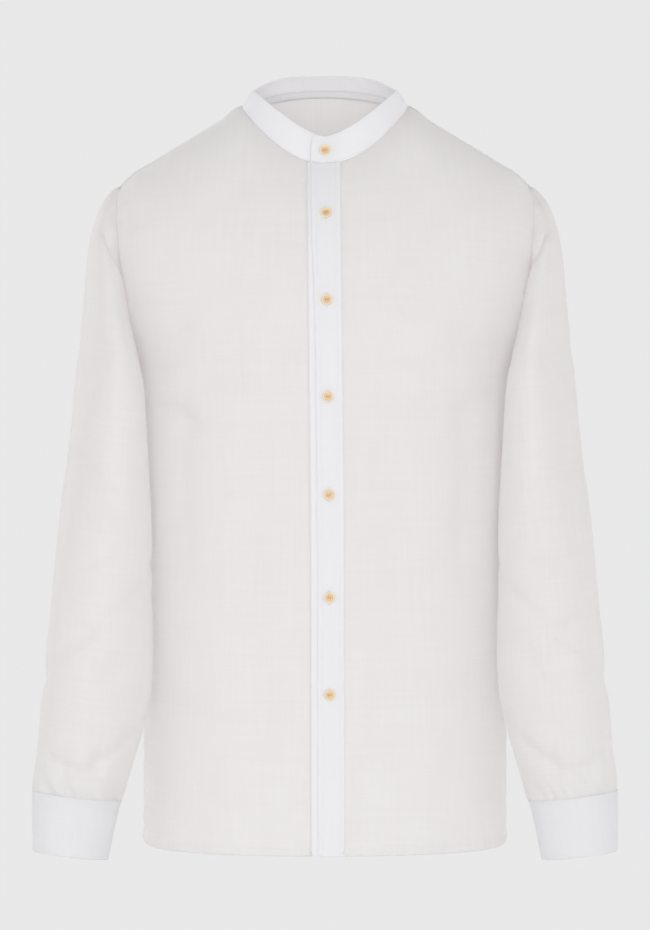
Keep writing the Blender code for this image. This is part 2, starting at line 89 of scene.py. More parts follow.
# x, height of the shoulder seam
SHOULDER_LINE = (
    (0.0855, 0.0000),
    (0.0980, -0.0065),
    (0.1150, -0.0168),
    (0.1450, -0.0348),
    (0.1770, -0.0551),
    (0.1985, -0.0690),
    (SHOULDER_TIP_X, SHOULDER_TIP_Z),
)

# Neck seam and collar rim, as rings that lean in and forward.
NECK_HALF_WIDTH = 0.0855
RIM_HALF_WIDTH = 0.0745
RIM_SIDE_Z = 0.0190
BAND_BOW = 0.0012

# Each half of the body: its side of the centre plane, how the neck is cut into it, the collar's rim
# over it, and how far down it goes on rounding over below the neck and below the shoulder tip.
FRONT = {
    "side": -1,
    "depth_column": 1,
    "neck_depth": 0.070,
    "neck_rise": -0.0625,
    "neck_power": 1.9,
    "rim_depth": 0.066,
    "rim_rise": -0.0530,
    "rim_power": 1.45,
    "reach_at_neck": 0.22,
    "reach_at_tip": 0.13,
}
BACK = {
    "side": 1,
    "depth_column": 2,
    "neck_depth": 0.072,
    "neck_rise": 0.018,
    "neck_power": 2.0,
    "rim_depth": 0.054,
    "rim_rise": 0.0200,
    "rim_power": 3.4,
    "reach_at_neck": 0.24,
    "reach_at_tip": 0.14,
}

# How the sharp turn of the ridge at the neck point dies away below it.
RIDGE_SOFTNESS = 0.6
MOST_RIDGE_SPREAD = 0.050

# Soft vertical folds in the body. half, x, upper end, lower end, half width across, depth
BODY_FOLDS = (
    (FRONT, -0.070, -0.230, -0.790, 0.022, 0.0045),
    (FRONT, 0.068, -0.240, -0.790, 0.022, 0.0045),
    (FRONT, -0.128, -0.640, -0.800, 0.030, 0.0060),
    (FRONT, 0.122, -0.630, -0.800, 0.030, 0.0060),
    (BACK, -0.075, -0.220, -0.790, 0.028, 0.0055),
    (BACK, 0.082, -0.250, -0.790, 0.026, 0.0050),
    (BACK, 0.012, -0.380, -0.790, 0.024, 0.0035),
)

# Sleeve, from just below the armpit to the cuff.
# z, centre x, centre y, half width, half depth, turn of the section in degrees
SLEEVE_SECTIONS = (
    (-0.300, 0.2200, -0.050, 0.0338, 0.0720, 16),
    (-0.350, 0.2207, -0.056, 0.0385, 0.0690, 16),
    (-0.403, 0.2222, -0.063, 0.0443, 0.0650, 15),
    (-0.506, 0.2255, -0.078, 0.0510, 0.0570, 14),
    (-0.609, 0.2320, -0.088, 0.0541, 0.0500, 12),
    (-0.656, 0.2405, -0.091, 0.0492, 0.0440, 8),
    (-0.683, 0.2462, -0.092, 0.0466, 0.0390, 5),
    (-0.700, 0.2496, -0.092, 0.0440, 0.0355, 3),
    (-0.7585, 0.2560, -0.094, 0.0372, 0.0305, 3),
)
SLEEVE_GIRTH = 0.32
SLEEVE_START_Z = SLEEVE_SECTIONS[0][0]
SLEEVE_END_Z = SLEEVE_SECTIONS[-2][0]
CUFF_END_Z = SLEEVE_SECTIONS[-1][0]
CUFF_LEAN = math.radians(6.9)
LEAN_START_Z = -0.50

# How the sleeve leaves the armhole, round it from the armpit over the front, top and back.
# turn round the armhole, direction x, y, z
SLEEVE_LEAVES = (
    (0.00, 0.45, -0.10, -0.89),
    (0.12, 0.05, -0.85, -0.52),
    (0.25, 0.10, -0.90, -0.40),
    (0.38, 0.62, -0.60, -0.50),
    (0.50, 0.84, 0.00, -0.54),
    (0.62, 0.66, 0.45, -0.60),
    (0.75, 0.52, 0.50, -0.69),
    (0.88, 0.50, 0.25, -0.83),
    (1.00, 0.45, -0.10, -0.89),
)
LEAVING_REACH = 0.21
ARRIVING_REACH = 0.47

# Diagonal folds in each sleeve. turn round the sleeve, z, slope of turn with z, half length, half
# width across, depth
SLEEVE_FOLDS = (
    (0.20, -0.505, -1.30, 0.055, 0.014, 0.0035),
    (0.22, -0.665, -1.10, 0.040, 0.012, 0.0040),
    (0.62, -0.560, 1.20, 0.060, 0.016, 0.0035),
    (0.85, -0.440, -1.00, 0.060, 0.016, 0.0030),
)

# Centre front. z, x of the placket's middle
PLACKET_MIDDLE = (
    (-0.770, 0.0050),
    (-0.400, 0.0040),
    (-0.110, 0.0010),
    (0.000, 0.0005),
)
PLACKET_HALF_WIDTH = 0.015
PLACKET_TOP_Z = -0.060
STAND_LEFT = 0.0195
STAND_RIGHT = 0.011

# Collar ends: the wearer's left end lies over the right one.
BAND_OVER_END_X = -0.0145
BAND_UNDER_END_X = 0.014
BAND_RAMP = math.radians(75)

# Cuffs overlap behind.
CUFF_SEAM_TURN = 0.70
CUFF_RAMP = 0.25

# Slit plackets behind each sleeve.
SLIT_TURNS = (0.655, 0.725)
SLIT_TOP_Z = -0.582
SLIT_BOTTOM_Z = -0.692

# The neck tape, by its edges' places up the collar band.
TAPE_START = 0.06
TAPE_END = 0.38
TAPE_ENDS = math.radians(72)

# Buttons.
BUTTON_RADIUS = 0.0057
BUTTON_THICKNESS = 0.0024
BUTTON_HEIGHTS = (-0.1145, -0.202, -0.2985, -0.3965, -0.4990, -0.5960)
CUFF_BUTTON_RADIUS = 0.0050


def smooth(value):
    """0 below 0, 1 above 1, and an even ease between."""
    value = np.clip(value, 0, 1)
    return value * value * (3 - 2 * value)


def along(table, at):
    """The table's other columns at places in its first column, on one smooth curve."""
    rows = np.array(sorted(table), float)
    places, values = rows[:, 0], rows[:, 1:]
    at = np.clip(at, places[0], places[-1])
    index = np.clip(np.searchsorted(places, at, side="right") - 1, 0, len(places) - 2)
    slopes = np.gradient(values, places, axis=0)
    span = (places[index + 1] - places[index])[..., None]
    part = (at - places[index])[..., None] / span
    return (
        values[index] * (2 * part**3 - 3 * part**2 + 1)
        + slopes[index] * span * (part**3 - 2 * part**2 + part)
        + values[index + 1] * (3 * part**2 - 2 * part**3)
        + slopes[index + 1] * span * (part**3 - part**2)
    )


def unit(vectors):
    return vectors / np.linalg.norm(vectors, axis=-1, keepdims=True)


def to_points(x, y, z):
    return np.stack(np.broadcast_arrays(x, y, z), axis=-1)


# The body's form. Every function takes single values or whole arrays.


def widest_angle(z):
    """The section angle at the side seam, a quarter turn, or at the armhole, less than that."""
    share = along(ARMHOLE, z)[..., 0] / along(BODY_SECTIONS, z)[..., 0]
    share = np.where(np.asarray(z) <= ARMPIT_Z, 1.0, np.minimum(share, 1.0))
    return np.arcsin(share ** (SECTION_POWER / 2))


def x_of(across, z):
    """The distance from the centre plane, across from 0 at the centre to 1 at the side or armhole."""
    return along(BODY_SECTIONS, z)[..., 0] * np.sin(widest_angle(z) * across) ** (2 / SECTION_POWER)


def across_of(x, z):
    share = np.minimum(1.0, np.abs(x) / along(BODY_SECTIONS, z)[..., 0])
    return np.arcsin(share ** (SECTION_POWER / 2)) / widest_angle(z)


def section_depth(half, x, z):
    sizes = along(BODY_SECTIONS, z)
    share = np.minimum(1.0, np.abs(x) / sizes[..., 0])
    return sizes[..., half["depth_column"]] * (1 - share**SECTION_POWER) ** (1 / SECTION_POWER)


def neck_edge(half, x):
    """Depth and height of the neck seam at an x inside the neck point."""
    share = np.minimum(1.0, np.abs(x) / NECK_HALF_WIDTH)
    return half["neck_depth"] * np.sqrt(1 - share**2), half["neck_rise"] * (1 - share ** half["neck_power"])


def top_z(half, x):
    """Height of the neck seam, or past the neck point of the shoulder seam."""
    return np.where(
        np.abs(x) < NECK_HALF_WIDTH, neck_edge(half, x)[1], along(SHOULDER_LINE, np.abs(x))[..., 0]
    )


def rounding_reach(half, x):
    outward = (np.abs(x) - NECK_HALF_WIDTH) / (SHOULDER_TIP_X - NECK_HALF_WIDTH)
    return half["reach_at_neck"] + (half["reach_at_tip"] - half["reach_at_neck"]) * smooth(outward)


def ridge(half, x):
    """The height where the rounded shoulder would start: the shoulder seam, and a ridge over the neck."""
    depth, height = neck_edge(half, x)
    share = depth / section_depth(half, x, 0.0)
    rise = rounding_reach(half, x) * (1 - np.sqrt(1 - share**2))
    return np.where(np.abs(x) < NECK_HALF_WIDTH, height + rise, top_z(half, x))


def soft_ridge(half, x, z):
    """The ridge, softened more the further below it the cloth hangs."""
    spread = np.clip(RIDGE_SOFTNESS * (ridge(half, x) - z), 0, MOST_RIDGE_SPREAD)
    return sum(
        weight * ridge(half, np.minimum(np.abs(x) + step * spread, SHOULDER_TIP_X))
        for step, weight in ((-1, 0.14), (-0.5, 0.22), (0, 0.28), (0.5, 0.22), (1, 0.14))
    )


def body_fold(half, x, z):
    """How far the soft vertical folds sink the cloth here."""
    sunk = 0.0
    for fold_half, fold_x, upper, lower, half_width, depth in BODY_FOLDS:
        if fold_half is half:
            fade = smooth((upper - z) / (0.45 * (upper - lower)))
            sunk = sunk + depth * fade * np.exp(-(((x - fold_x) / half_width) ** 2))
    return sunk


def body_at(half, x, z):
    """The outside of the front or back at an x and a height."""
    drop = soft_ridge(half, x, z) - z
    left = 1 - np.clip(drop / rounding_reach(half, x), 0, 1)
    depth = section_depth(half, x, z) * np.sqrt(1 - left**2)
    squareness = np.clip(depth / BODY_SECTIONS[0][half["depth_column"]], 0, 1)
    depth = depth - body_fold(half, x, z) * squareness
    return to_points(x, half["side"] * depth, z)


def body_point(half, side, across, z):
    """The same, by the place across; side is 1 for the wearer's left and -1 for the right."""
    return body_at(half, side * x_of(across, z), z)


def hem_z(across):
    return HEM_FRONT_Z + HEM_SIDE_RISE * across**4


def armhole_point(turn):
    """Round the left armhole, from the armpit over the front, the shoulder tip and the back."""
    z = ARMPIT_Z + (SHOULDER_TIP_Z - ARMPIT_Z) * (1 - np.cos(2 * math.pi * turn)) / 2
    edge = x_of(1.0, z)
    front = np.asarray(turn)[..., None] <= 0.5
    return np.where(front, body_at(FRONT, edge, z), body_at(BACK, edge, z))


# The sleeve's form, on the wearer's left.


def sleeve_ring(z, turn):
    centre_x, centre_y, half_width, half_depth, twist = np.moveaxis(along(SLEEVE_SECTIONS, z), -1, 0)
    twist, angle = np.radians(twist), 2 * math.pi * turn
    inward, forward = half_width * np.cos(angle), half_depth * np.sin(angle)
    offset_x = -inward * np.cos(twist) - forward * np.sin(twist)
    offset_y = inward * np.sin(twist) - forward * np.cos(twist)
    lean = CUFF_LEAN * smooth((LEAN_START_Z - z) / (LEAN_START_Z - SLEEVE_END_Z))
    return to_points(centre_x + offset_x, centre_y + offset_y, z + np.tan(lean) * offset_x)


def sleeve_middle(z):
    return (sleeve_ring(z, 0) + sleeve_ring(z, 0.5)) / 2


def sleeve_cap(part, turn):
    """Between the armhole, at part 0, and the first full section of the sleeve, at part 1."""
    start, end = armhole_point(turn), sleeve_ring(SLEEVE_START_Z, turn)
    leaves = unit(along(SLEEVE_LEAVES, turn))
    arrives = unit(sleeve_ring(SLEEVE_START_Z - 0.01, turn) - end)
    length = np.linalg.norm(end - start, axis=-1, keepdims=True)
    first = start + leaves * length * LEAVING_REACH
    second = end - arrives * length * ARRIVING_REACH
    part = np.asarray(part)[..., None]
    rest = 1 - part
    return start * rest**3 + 3 * rest * part * (first * rest + second * part) + end * part**3


def sleeve_fold(z, turn):
    """How far the diagonal folds sink the cloth here."""
    sunk = 0.0
    for fold_turn, fold_z, slope, half_length, half_width, depth in SLEEVE_FOLDS:
        offset = turn - fold_turn - slope * (z - fold_z) / SLEEVE_GIRTH
        offset = ((offset + 0.5) % 1 - 0.5) * SLEEVE_GIRTH
        sunk = sunk + depth * np.exp(-((offset / half_width) ** 2) - ((z - fold_z) / half_length) ** 2)
    return sunk


def sleeve_point(z, turn):
    """The outside of the sleeve, below the armpit."""
    point = sleeve_ring(z, turn)
    return point - unit(point - sleeve_middle(z)) * np.asarray(sleeve_fold(z, turn))[..., None]


# The collar's form. The angle is 0 at the centre front and grows towards the wearer's right.


def neck_ring(angle, half_width, name, side_z):
    """The neck seam or the rim, whose sizes are each half's values of that name."""
    front = np.cos(angle) > 0
    sizes = [f"{name}_{size}" for size in ("depth", "rise", "power")]
    depth, rise, power = (np.where(front, FRONT[size], BACK[size]) for size in sizes)
    z = side_z + rise * (1 - np.abs(np.sin(angle)) ** power)
    return to_points(-half_width * np.sin(angle), -depth * np.cos(angle), z)


def band_point(angle, up):
    """The outside of the collar band, up from 0 at the neck seam to 1 at the rim."""
    seam = neck_ring(angle, NECK_HALF_WIDTH, "neck", 0)
    rim = neck_ring(angle, RIM_HALF_WIDTH, "rim", RIM_SIDE_Z)
    up = np.asarray(up)[..., None]
    return seam + (rim - seam) * up + unit(seam * (1, 1, 0)) * BAND_BOW * 4 * up * (1 - up)


# Fine cloth: even grids of points, close together beside the seams.

STEP = 0.0034
NEAR_SEAM = (0, 0.0008, 0.0018, 0.0032, 0.0050, 0.0064, 0.0072, 0.0080, 0.0096, 0.0120)
FINE_CLOTH = 0.0007
FINE_DOUBLED = 0.0012
SEAM_WIDTH = 0.0070
SEAM_RISE = 0.0006
HEM_WIDTH = 0.0082


def places(length, seam_at_start=True, seam_at_end=True, step=STEP):
    """Places from 0 to 1 along a length of cloth, close together beside a seam at either end."""
    first = np.array(NEAR_SEAM if seam_at_start else (0,)) / length
    last = 1 - np.array(NEAR_SEAM if seam_at_end else (0,))[::-1] / length
    count = max(2, round((last[0] - first[-1]) * length / step))
    return np.concatenate([first, np.linspace(first[-1], last[0], count + 1)[1:-1], last])


def grid_normals(grid, closed=False):
    """Unit normals of a grid of points, on the side where (column direction) x (row direction) points."""
    if closed:
        padded = np.concatenate([grid[:, -1:], grid, grid[:, :1]], axis=1)
        across = padded[:, 2:] - padded[:, :-2]
    else:
        across = np.gradient(grid, axis=1)
    normals = np.cross(across, np.gradient(grid, axis=0))
    return normals / np.maximum(np.linalg.norm(normals, axis=2, keepdims=True), 1e-12)


def raised(grid, distance, closed=False):
    return grid + grid_normals(grid, closed) * np.asarray(distance)[..., None]


def lengths_along(grid, axis):
    """How far each point is along its row or column of the grid."""
    steps = np.linalg.norm(np.diff(grid, axis=axis), axis=2)
    return np.concatenate([np.zeros_like(steps.take([0], axis)), steps.cumsum(axis)], axis=axis)


def puckers(place, from_seam, depth, reach, spacing, seed):
    """Small uneven ripples across a seam, strongest beside it and none on it. Depths are outward."""
    phase = 2 * math.pi * place / spacing
    wave = np.sin(phase + 1.9 * np.sin(0.31 * phase + seed))
    wave = wave + 0.6 * np.sin(0.57 * phase + 2.1 * seed + 1.4 * np.sin(0.17 * phase))
    return depth * wave * smooth(from_seam / 0.004) * np.exp(-((from_seam / reach) ** 2))


def felled(from_seam, width=SEAM_WIDTH, rise=SEAM_RISE):
    """The rise of cloth folded double beside a seam, with a groove at the seam and at the stitching."""
    return (
        rise * (1 - smooth((from_seam - width) / 0.0016)) * smooth(from_seam / 0.0016)
        - 0.45 * rise * np.exp(-(((from_seam - width + 0.0006) / 0.0009) ** 2))
    )


def fold_depth(across, z, folds):
    """How far the listed folds sink the cloth, on a flat view of it from the front or from behind.

    Each fold is a path of (x, z) points, a half width on its left, one on its right, and a depth.
    """
    sunk = np.zeros(np.broadcast(across, z).shape)
    places = np.stack(np.broadcast_arrays(across, z), axis=-1)[..., None, :]
    for path, left_width, right_width, depth in folds:
        path = np.array(path, float)
        start, step = path[:-1], np.diff(path, axis=0)
        spans = np.linalg.norm(step, axis=1)
        share = np.clip(((places - start) * step).sum(-1) / spans**2, 0, 1)
        away = places - (start + share[..., None] * step)
        distance = np.linalg.norm(away, axis=-1)
        nearest = distance.argmin(-1)[..., None]
        before = np.concatenate([[0], spans.cumsum()[:-1]])
        progress = np.take_along_axis((before + share * spans) / spans.sum(), nearest, -1)[..., 0]
        side = np.take_along_axis(away[..., 0] * step[:, 1] - away[..., 1] * step[:, 0], nearest, -1)[..., 0]
        width = np.where(side > 0, left_width, right_width)
        reach = np.take_along_axis(distance, nearest, -1)[..., 0] / width
        fade = smooth(progress / 0.3) * smooth((1 - progress) / 0.3)
        sunk = sunk + depth * fade * (1 - 0.45 * reach**2) * np.exp(-(reach**2))
    return sunk


def folded_by_hand(grid, front_folds, back_folds, closed=False):
    """The grid with the folds seen from the front on what faces forward, and the others on the rest."""
    facing = -grid_normals(grid, closed)[..., 1]
    x, z = grid[..., 0], grid[..., 2]
    sunk = fold_depth(x, z, front_folds) * smooth(0.5 + 1.2 * facing)
    sunk = sunk + fold_depth(x, z, back_folds) * smooth(0.5 - 1.2 * facing)
    return raised(grid, -sunk, closed)


def worked(grid, folded=(), seams=(), closed=False, calm=0.0):
    """The grid with double folds and puckers beside its named edges.

    folded holds (edge, width, rise); seams holds (edge, depth, reach, spacing, seed). Within calm of
    its last row the cloth is left as it is.
    """
    across, up = lengths_along(grid, 1), lengths_along(grid, 0)
    from_edge = {
        "left": across,
        "right": across[:, -1:] - across,
        "first": up,
        "last": up[-1:] - up,
    }
    height = np.zeros(grid.shape[:2])
    for edge, width, rise in folded:
        height = height + felled(from_edge[edge], width, rise)
    for edge, depth, reach, spacing, seed in seams:
        place = up if edge in ("left", "right") else across
        height = height + puckers(place, from_edge[edge], depth, reach, spacing, seed)
    if calm:
        height = height * smooth((from_edge["last"] - 0.2 * calm) / calm)
    return raised(grid, height, closed)


def line_beside(grid, edge, distance, closed=False):
    """Points and normals of the grid's surface along a line this far in from one of its edges."""
    normals = grid_normals(grid, closed)
    if edge in ("first", "last"):
        grid, normals = grid.swapaxes(0, 1), normals.swapaxes(0, 1)
    if edge in ("right", "last"):
        grid, normals = grid[:, ::-1], normals[:, ::-1]
    lengths = lengths_along(grid, 1)
    points, outward = [], []
    for row, row_normals, row_lengths in zip(grid, normals, lengths):
        points.append([np.interp(distance, row_lengths, row[:, i]) for i in range(3)])
        outward.append([np.interp(distance, row_lengths, row_normals[:, i]) for i in range(3)])
    return np.array(points), unit(np.array(outward))


def mesh_object(name, points, faces, materials, smooth_faces=True):
    mesh = bpy.data.meshes.new(name)
    mesh.from_pydata([tuple(point) for point in points], [], faces)
    if smooth_faces:
        mesh.shade_smooth()
    for each in materials:
        mesh.materials.append(each)
    made = bpy.data.objects.new(name, mesh)
    bpy.context.scene.collection.objects.link(made)
    return made


def cloth(name, grid, thickness, cloth_material, closed=False):
    """A sheet through a grid of points on its outside, thickened inward, with its threads' lie as UVs."""
    rows, columns = grid.shape[:2]
    if closed:
        grid = np.concatenate([grid, grid[:, :1]], axis=1)
        columns += 1
    index = np.arange(rows * columns).reshape(rows, columns)
    corners = (index[:-1, :-1], index[:-1, 1:], index[1:, 1:], index[1:, :-1])
    faces = np.stack([corner.ravel() for corner in corners], axis=1)
    made = mesh_object(name, grid.reshape(-1, 3), faces.tolist(), [cloth_material])
    level = lengths_along(grid * (1, 1, 0.2), 1)
    across = level - level[:, -1:] / 2
    up = lengths_along(grid, 0)
    threads = np.stack([across.ravel(), up.ravel()], axis=1)
    layer = made.data.uv_layers.new(name="threads")
    layer.data.foreach_set("uv", threads[faces.ravel()].ravel())
    wall = made.modifiers.new("Wall", "SOLIDIFY")
    wall.thickness = thickness
    wall.offset = -1
    wall.use_even_offset = True
    wall.thickness_clamp = 0.4
    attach(made, "root")
    return made


STITCH_LENGTH = 0.0023
STITCH_GAP = 0.0009
STITCH_WIDTH = 0.00042


def resampled(points, normals, pitch):
    """Even places along a line, with its direction and outward normal at each."""
    lengths = np.concatenate([[0], np.linalg.norm(np.diff(points, axis=0), axis=1).cumsum()])
    at = np.arange(pitch / 2, lengths[-1], pitch)
    place = np.stack([np.interp(at, lengths, points[:, i]) for i in range(3)], axis=1)
    ahead = np.stack([np.interp(at + pitch / 4, lengths, points[:, i]) for i in range(3)], axis=1)
    behind = np.stack([np.interp(at - pitch / 4, lengths, points[:, i]) for i in range(3)], axis=1)
    outward = unit(np.stack([np.interp(at, lengths, normals[:, i]) for i in range(3)], axis=1))
    return place, unit(ahead - behind), outward


def stitching(name, lines, thread, length=STITCH_LENGTH, gap=STITCH_GAP, width=STITCH_WIDTH):
    """Every stitch of some lines, as one piece. Each stitch is a small pointed bar lying on the cloth."""
    points, faces = [], []
    for line_points, line_normals in lines:
        place, ahead, outward = resampled(line_points, line_normals, length + gap)
        across = np.cross(ahead, outward)
        for at, forward, up, sideways in zip(place, ahead, outward, across):
            first = len(points)
            points += [
                at - forward * length / 2,
                at + forward * length / 2,
                at + sideways * width / 2 + up * 0.3 * width,
                at + up * 0.7 * width,
                at - sideways * width / 2 + up * 0.3 * width,
                at - up * 0.2 * width,
            ]
            for corner in range(4):
                one, two = first + 2 + corner, first + 2 + (corner + 1) % 4
                faces += [(first, two, one), (first + 1, one, two)]
    made = mesh_object(name, points, faces, [thread])
    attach(made, "root")
    return made


def clear_of(line, start, end):
    """The part of a line between these shares of it."""
    points, normals = line
    count = len(points)
    keep = slice(round(start * count), round(end * count))
    return points[keep], normals[keep]


def mirrored(grid):
    """The grid as its mirror image on the wearer's right, with its outside still outside."""
    return (grid * (-1, 1, 1))[:, ::-1]


# Materials.


def shader_of(name, colour, roughness):
    made = bpy.data.materials.new(name)
    made.use_nodes = True
    shader = made.node_tree.nodes["Principled BSDF"]
    shader.inputs["Base Color"].default_value = (*colour, 1)
    shader.inputs["Roughness"].default_value = roughness
    return made, made.node_tree, shader


def scaled_noise(tree, threads, across_scale, along_scale, detail=2.0):
    """Noise over the cloth, with its own scale across and along the threads, per metre."""
    mapping = tree.nodes.new("ShaderNodeMapping")
    mapping.inputs["Scale"].default_value = (across_scale, along_scale, 1)
    tree.links.new(threads, mapping.inputs["Vector"])
    noise = tree.nodes.new("ShaderNodeTexNoise")
    noise.inputs["Scale"].default_value = 1.0
    noise.inputs["Detail"].default_value = detail
    tree.links.new(mapping.outputs["Vector"], noise.inputs["Vector"])
    return noise.outputs["Fac"]


def combined(tree, operation, first, second):
    node = tree.nodes.new("ShaderNodeMath")
    node.operation = operation
    for socket, value in zip(node.inputs, (first, second)):
        if isinstance(value, (int, float)):
            socket.default_value = value
        else:
            tree.links.new(value, socket)
    return node.outputs["Value"]


def linen(name, dark, light, relief, thinness):
    """Plain woven linen: thick and thin threads both ways, whose colour and height vary."""
    made, tree, shader = shader_of(name, light, 0.9)
    shader.inputs["Sheen Weight"].default_value = 0.12
    shader.inputs["Sheen Roughness"].default_value = 0.6
    shader.inputs["Specular IOR Level"].default_value = 0.2
    uv = tree.nodes.new("ShaderNodeUVMap")
    uv.uv_map = "threads"
    threads = uv.outputs["UV"]
    warp = scaled_noise(tree, threads, 1400, 24)
    weft = scaled_noise(tree, threads, 24, 1400)
    slub_down = scaled_noise(tree, threads, 420, 9)
    slub_across = scaled_noise(tree, threads, 7, 520)
    patches = scaled_noise(tree, threads, 26, 26)
    slubs = combined(tree, "ADD", slub_down, slub_across)
    fine = combined(tree, "ADD", warp, weft)
    slub_shade = combined(tree, "MULTIPLY", slubs, 0.7)
    shade = combined(tree, "ADD", slub_shade, combined(tree, "MULTIPLY", fine, 0.35))
    shade = combined(tree, "ADD", shade, combined(tree, "MULTIPLY", patches, 0.35))
    spread = tree.nodes.new("ShaderNodeMapRange")
    spread.inputs["From Min"].default_value = 0.85
    spread.inputs["From Max"].default_value = 1.60
    tree.links.new(shade, spread.inputs["Value"])
    mix = tree.nodes.new("ShaderNodeMix")
    mix.data_type = "RGBA"
    mix.inputs[6].default_value = (*dark, 1)
    mix.inputs[7].default_value = (*light, 1)
    tree.links.new(spread.outputs["Result"], mix.inputs[0])
    tree.links.new(mix.outputs[2], shader.inputs["Base Color"])
    bump = tree.nodes.new("ShaderNodeBump")
    bump.inputs["Strength"].default_value = relief
    bump.inputs["Distance"].default_value = 0.0004
    tree.links.new(combined(tree, "ADD", fine, combined(tree, "MULTIPLY", slubs, 0.8)), bump.inputs["Height"])
    tree.links.new(bump.outputs["Normal"], shader.inputs["Normal"])
    through = tree.nodes.new("ShaderNodeBsdfTranslucent")
    tree.links.new(mix.outputs[2], through.inputs["Color"])
    both = tree.nodes.new("ShaderNodeMixShader")
    both.inputs["Fac"].default_value = thinness
    tree.links.new(shader.outputs["BSDF"], both.inputs[1])
    tree.links.new(through.outputs["BSDF"], both.inputs[2])
    tree.links.new(both.outputs["Shader"], tree.nodes["Material Output"].inputs["Surface"])
    return made


linen_material = linen("linen", (0.892, 0.875, 0.874), (0.930, 0.915, 0.916), 0.4, 0.42)
doubled_material = linen("linen_doubled", (0.895, 0.890, 0.903), (0.925, 0.920, 0.936), 0.3, 0.25)
# The cuffs' linen is the doubled linen painted darker: painted shade that offsets the side light falling on the
# cuffs.
cuff_shaded_material = linen("linen_cuff_painted_shade", (0.850, 0.845, 0.858), (0.880, 0.875, 0.890), 0.3, 0.25)
thread_white, _, _ = shader_of("thread_white", (0.86, 0.85, 0.86), 0.75)
thread_green, _, _ = shader_of("thread_green", (0.50, 0.76, 0.62), 0.7)


# Body panels.


def row_shares(length=0.72):
    """Heights of a panel's rows as shares of its side line, close together at the hem and the shoulder."""
    return places(length)


def top_places(start_x):
    """Places across the top of a panel, from an x inside the neck point out to the shoulder tip."""
    neck = across_of(np.linspace(start_x, NECK_HALF_WIDTH, 24), 0.0)
    seam = np.array(NEAR_SEAM[::-1]) / 0.26
    outer = np.linspace(neck[-1], 1 - seam[0], 42)[1:]
    return np.concatenate([neck, outer, 1 - seam[1:]])


def panel(half, side, start_offset):
    """Half of the front or back, out from a line beside the placket's middle, or from the centre."""
    shares = row_shares()[:, None]

    def start_at(z):
        if start_offset is None:
            return 0.0 * z
        return across_of(side * along(PLACKET_MIDDLE, z)[..., 0] + start_offset, z)

    start_top = float(start_at(np.array(PLACKET_TOP_Z)))
    tops = top_places(float(x_of(start_top, 0.0)))
    low, high = hem_z(tops), top_z(half, x_of(tops, 0.0))
    heights = low + (high - low) * shares
    start = start_at(np.minimum(heights, PLACKET_TOP_Z))
    across = start + (1 - start) * (tops - start_top) / (1 - start_top)
    return body_point(half, side, across, heights)


def back_panel():
    """The whole back, from the wearer's left side seam across to the right one."""
    left, right = (panel(BACK, side, None) for side in (1, -1))
    return np.concatenate([left[:, ::-1], right[:, 1:]], axis=1)


def front_strip(offsets):
    """A strip down the centre front, through lines at these distances from the placket's middle."""
    offsets = np.array(offsets)
    high = top_z(FRONT, along(PLACKET_MIDDLE, PLACKET_TOP_Z)[..., 0] + offsets)
    heights = HEM_FRONT_Z + (high - HEM_FRONT_Z) * places(0.70)[:, None]
    return body_at(FRONT, along(PLACKET_MIDDLE, heights)[..., 0] + offsets, heights)


def declared(node):
    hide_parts(node)


# Folds, listed one by one: a path of (x, z), a half width on each side, a depth. Negative depths are ridges.
FRONT_FOLDS = (
    # Drags from each armpit towards the chest and down the side.
    (((0.186, -0.262), (0.150, -0.235), (0.118, -0.225)), 0.012, 0.018, 0.0035),
    (((0.187, -0.300), (0.158, -0.300), (0.120, -0.322)), 0.010, 0.018, 0.0030),
    (((-0.187, -0.255), (-0.152, -0.238), (-0.125, -0.222)), 0.016, 0.011, 0.0032),
    (((-0.186, -0.305), (-0.150, -0.312), (-0.118, -0.342)), 0.016, 0.010, 0.0032),
    # Faint drops beside the sleeves.
    (((0.142, -0.270), (0.141, -0.400), (0.136, -0.520)), 0.014, 0.018, 0.0030),
    (((-0.144, -0.265), (-0.143, -0.380), (-0.138, -0.500)), 0.018, 0.013, 0.0028),
    # Soft slack at the waist.
    (((0.180, -0.560), (0.120, -0.600), (0.060, -0.612)), 0.015, 0.024, 0.0026),
    (((-0.182, -0.590), (-0.130, -0.622), (-0.075, -0.628)), 0.022, 0.014, 0.0024),
    # From the collar and beside the placket.
    (((0.030, -0.100), (0.034, -0.190), (0.030, -0.300)), 0.012, 0.016, 0.0016),
    (((-0.040, -0.110), (-0.038, -0.200), (-0.034, -0.290)), 0.016, 0.012, 0.0014),
    (((-0.024, -0.590), (-0.024, -0.680), (-0.026, -0.770)), 0.012, 0.008, 0.0022),
    (((0.034, -0.640), (0.036, -0.710), (0.034, -0.775)), 0.008, 0.014, 0.0020),
)
BACK_FOLDS = (
    # The pull across the shoulder blades, and the drop under it.
    (((0.196, -0.200), (0.130, -0.168), (0.060, -0.158)), 0.016, 0.028, 0.0040),
    (((-0.196, -0.205), (-0.125, -0.172), (-0.050, -0.163)), 0.026, 0.015, 0.0038),
    (((0.186, -0.262), (0.148, -0.285), (0.110, -0.330)), 0.012, 0.018, 0.0045),
    (((-0.186, -0.258), (-0.150, -0.290), (-0.118, -0.345)), 0.018, 0.012, 0.0042),
    (((0.040, -0.200), (0.044, -0.380), (0.036, -0.560)), 0.014, 0.020, 0.0036),
    (((-0.036, -0.230), (-0.034, -0.420), (-0.044, -0.640)), 0.020, 0.014, 0.0034),
    (((0.120, -0.330), (0.126, -0.500), (0.118, -0.700)), 0.016, 0.024, 0.0046),
    (((-0.122, -0.350), (-0.130, -0.540), (-0.120, -0.730)), 0.024, 0.016, 0.0044),
    # Slack at the small of the back.
    (((0.150, -0.500), (0.070, -0.540), (-0.010, -0.545)), 0.012, 0.020, 0.0032),
    (((-0.150, -0.540), (-0.080, -0.575), (0.000, -0.590)), 0.020, 0.013, 0.0034),
)


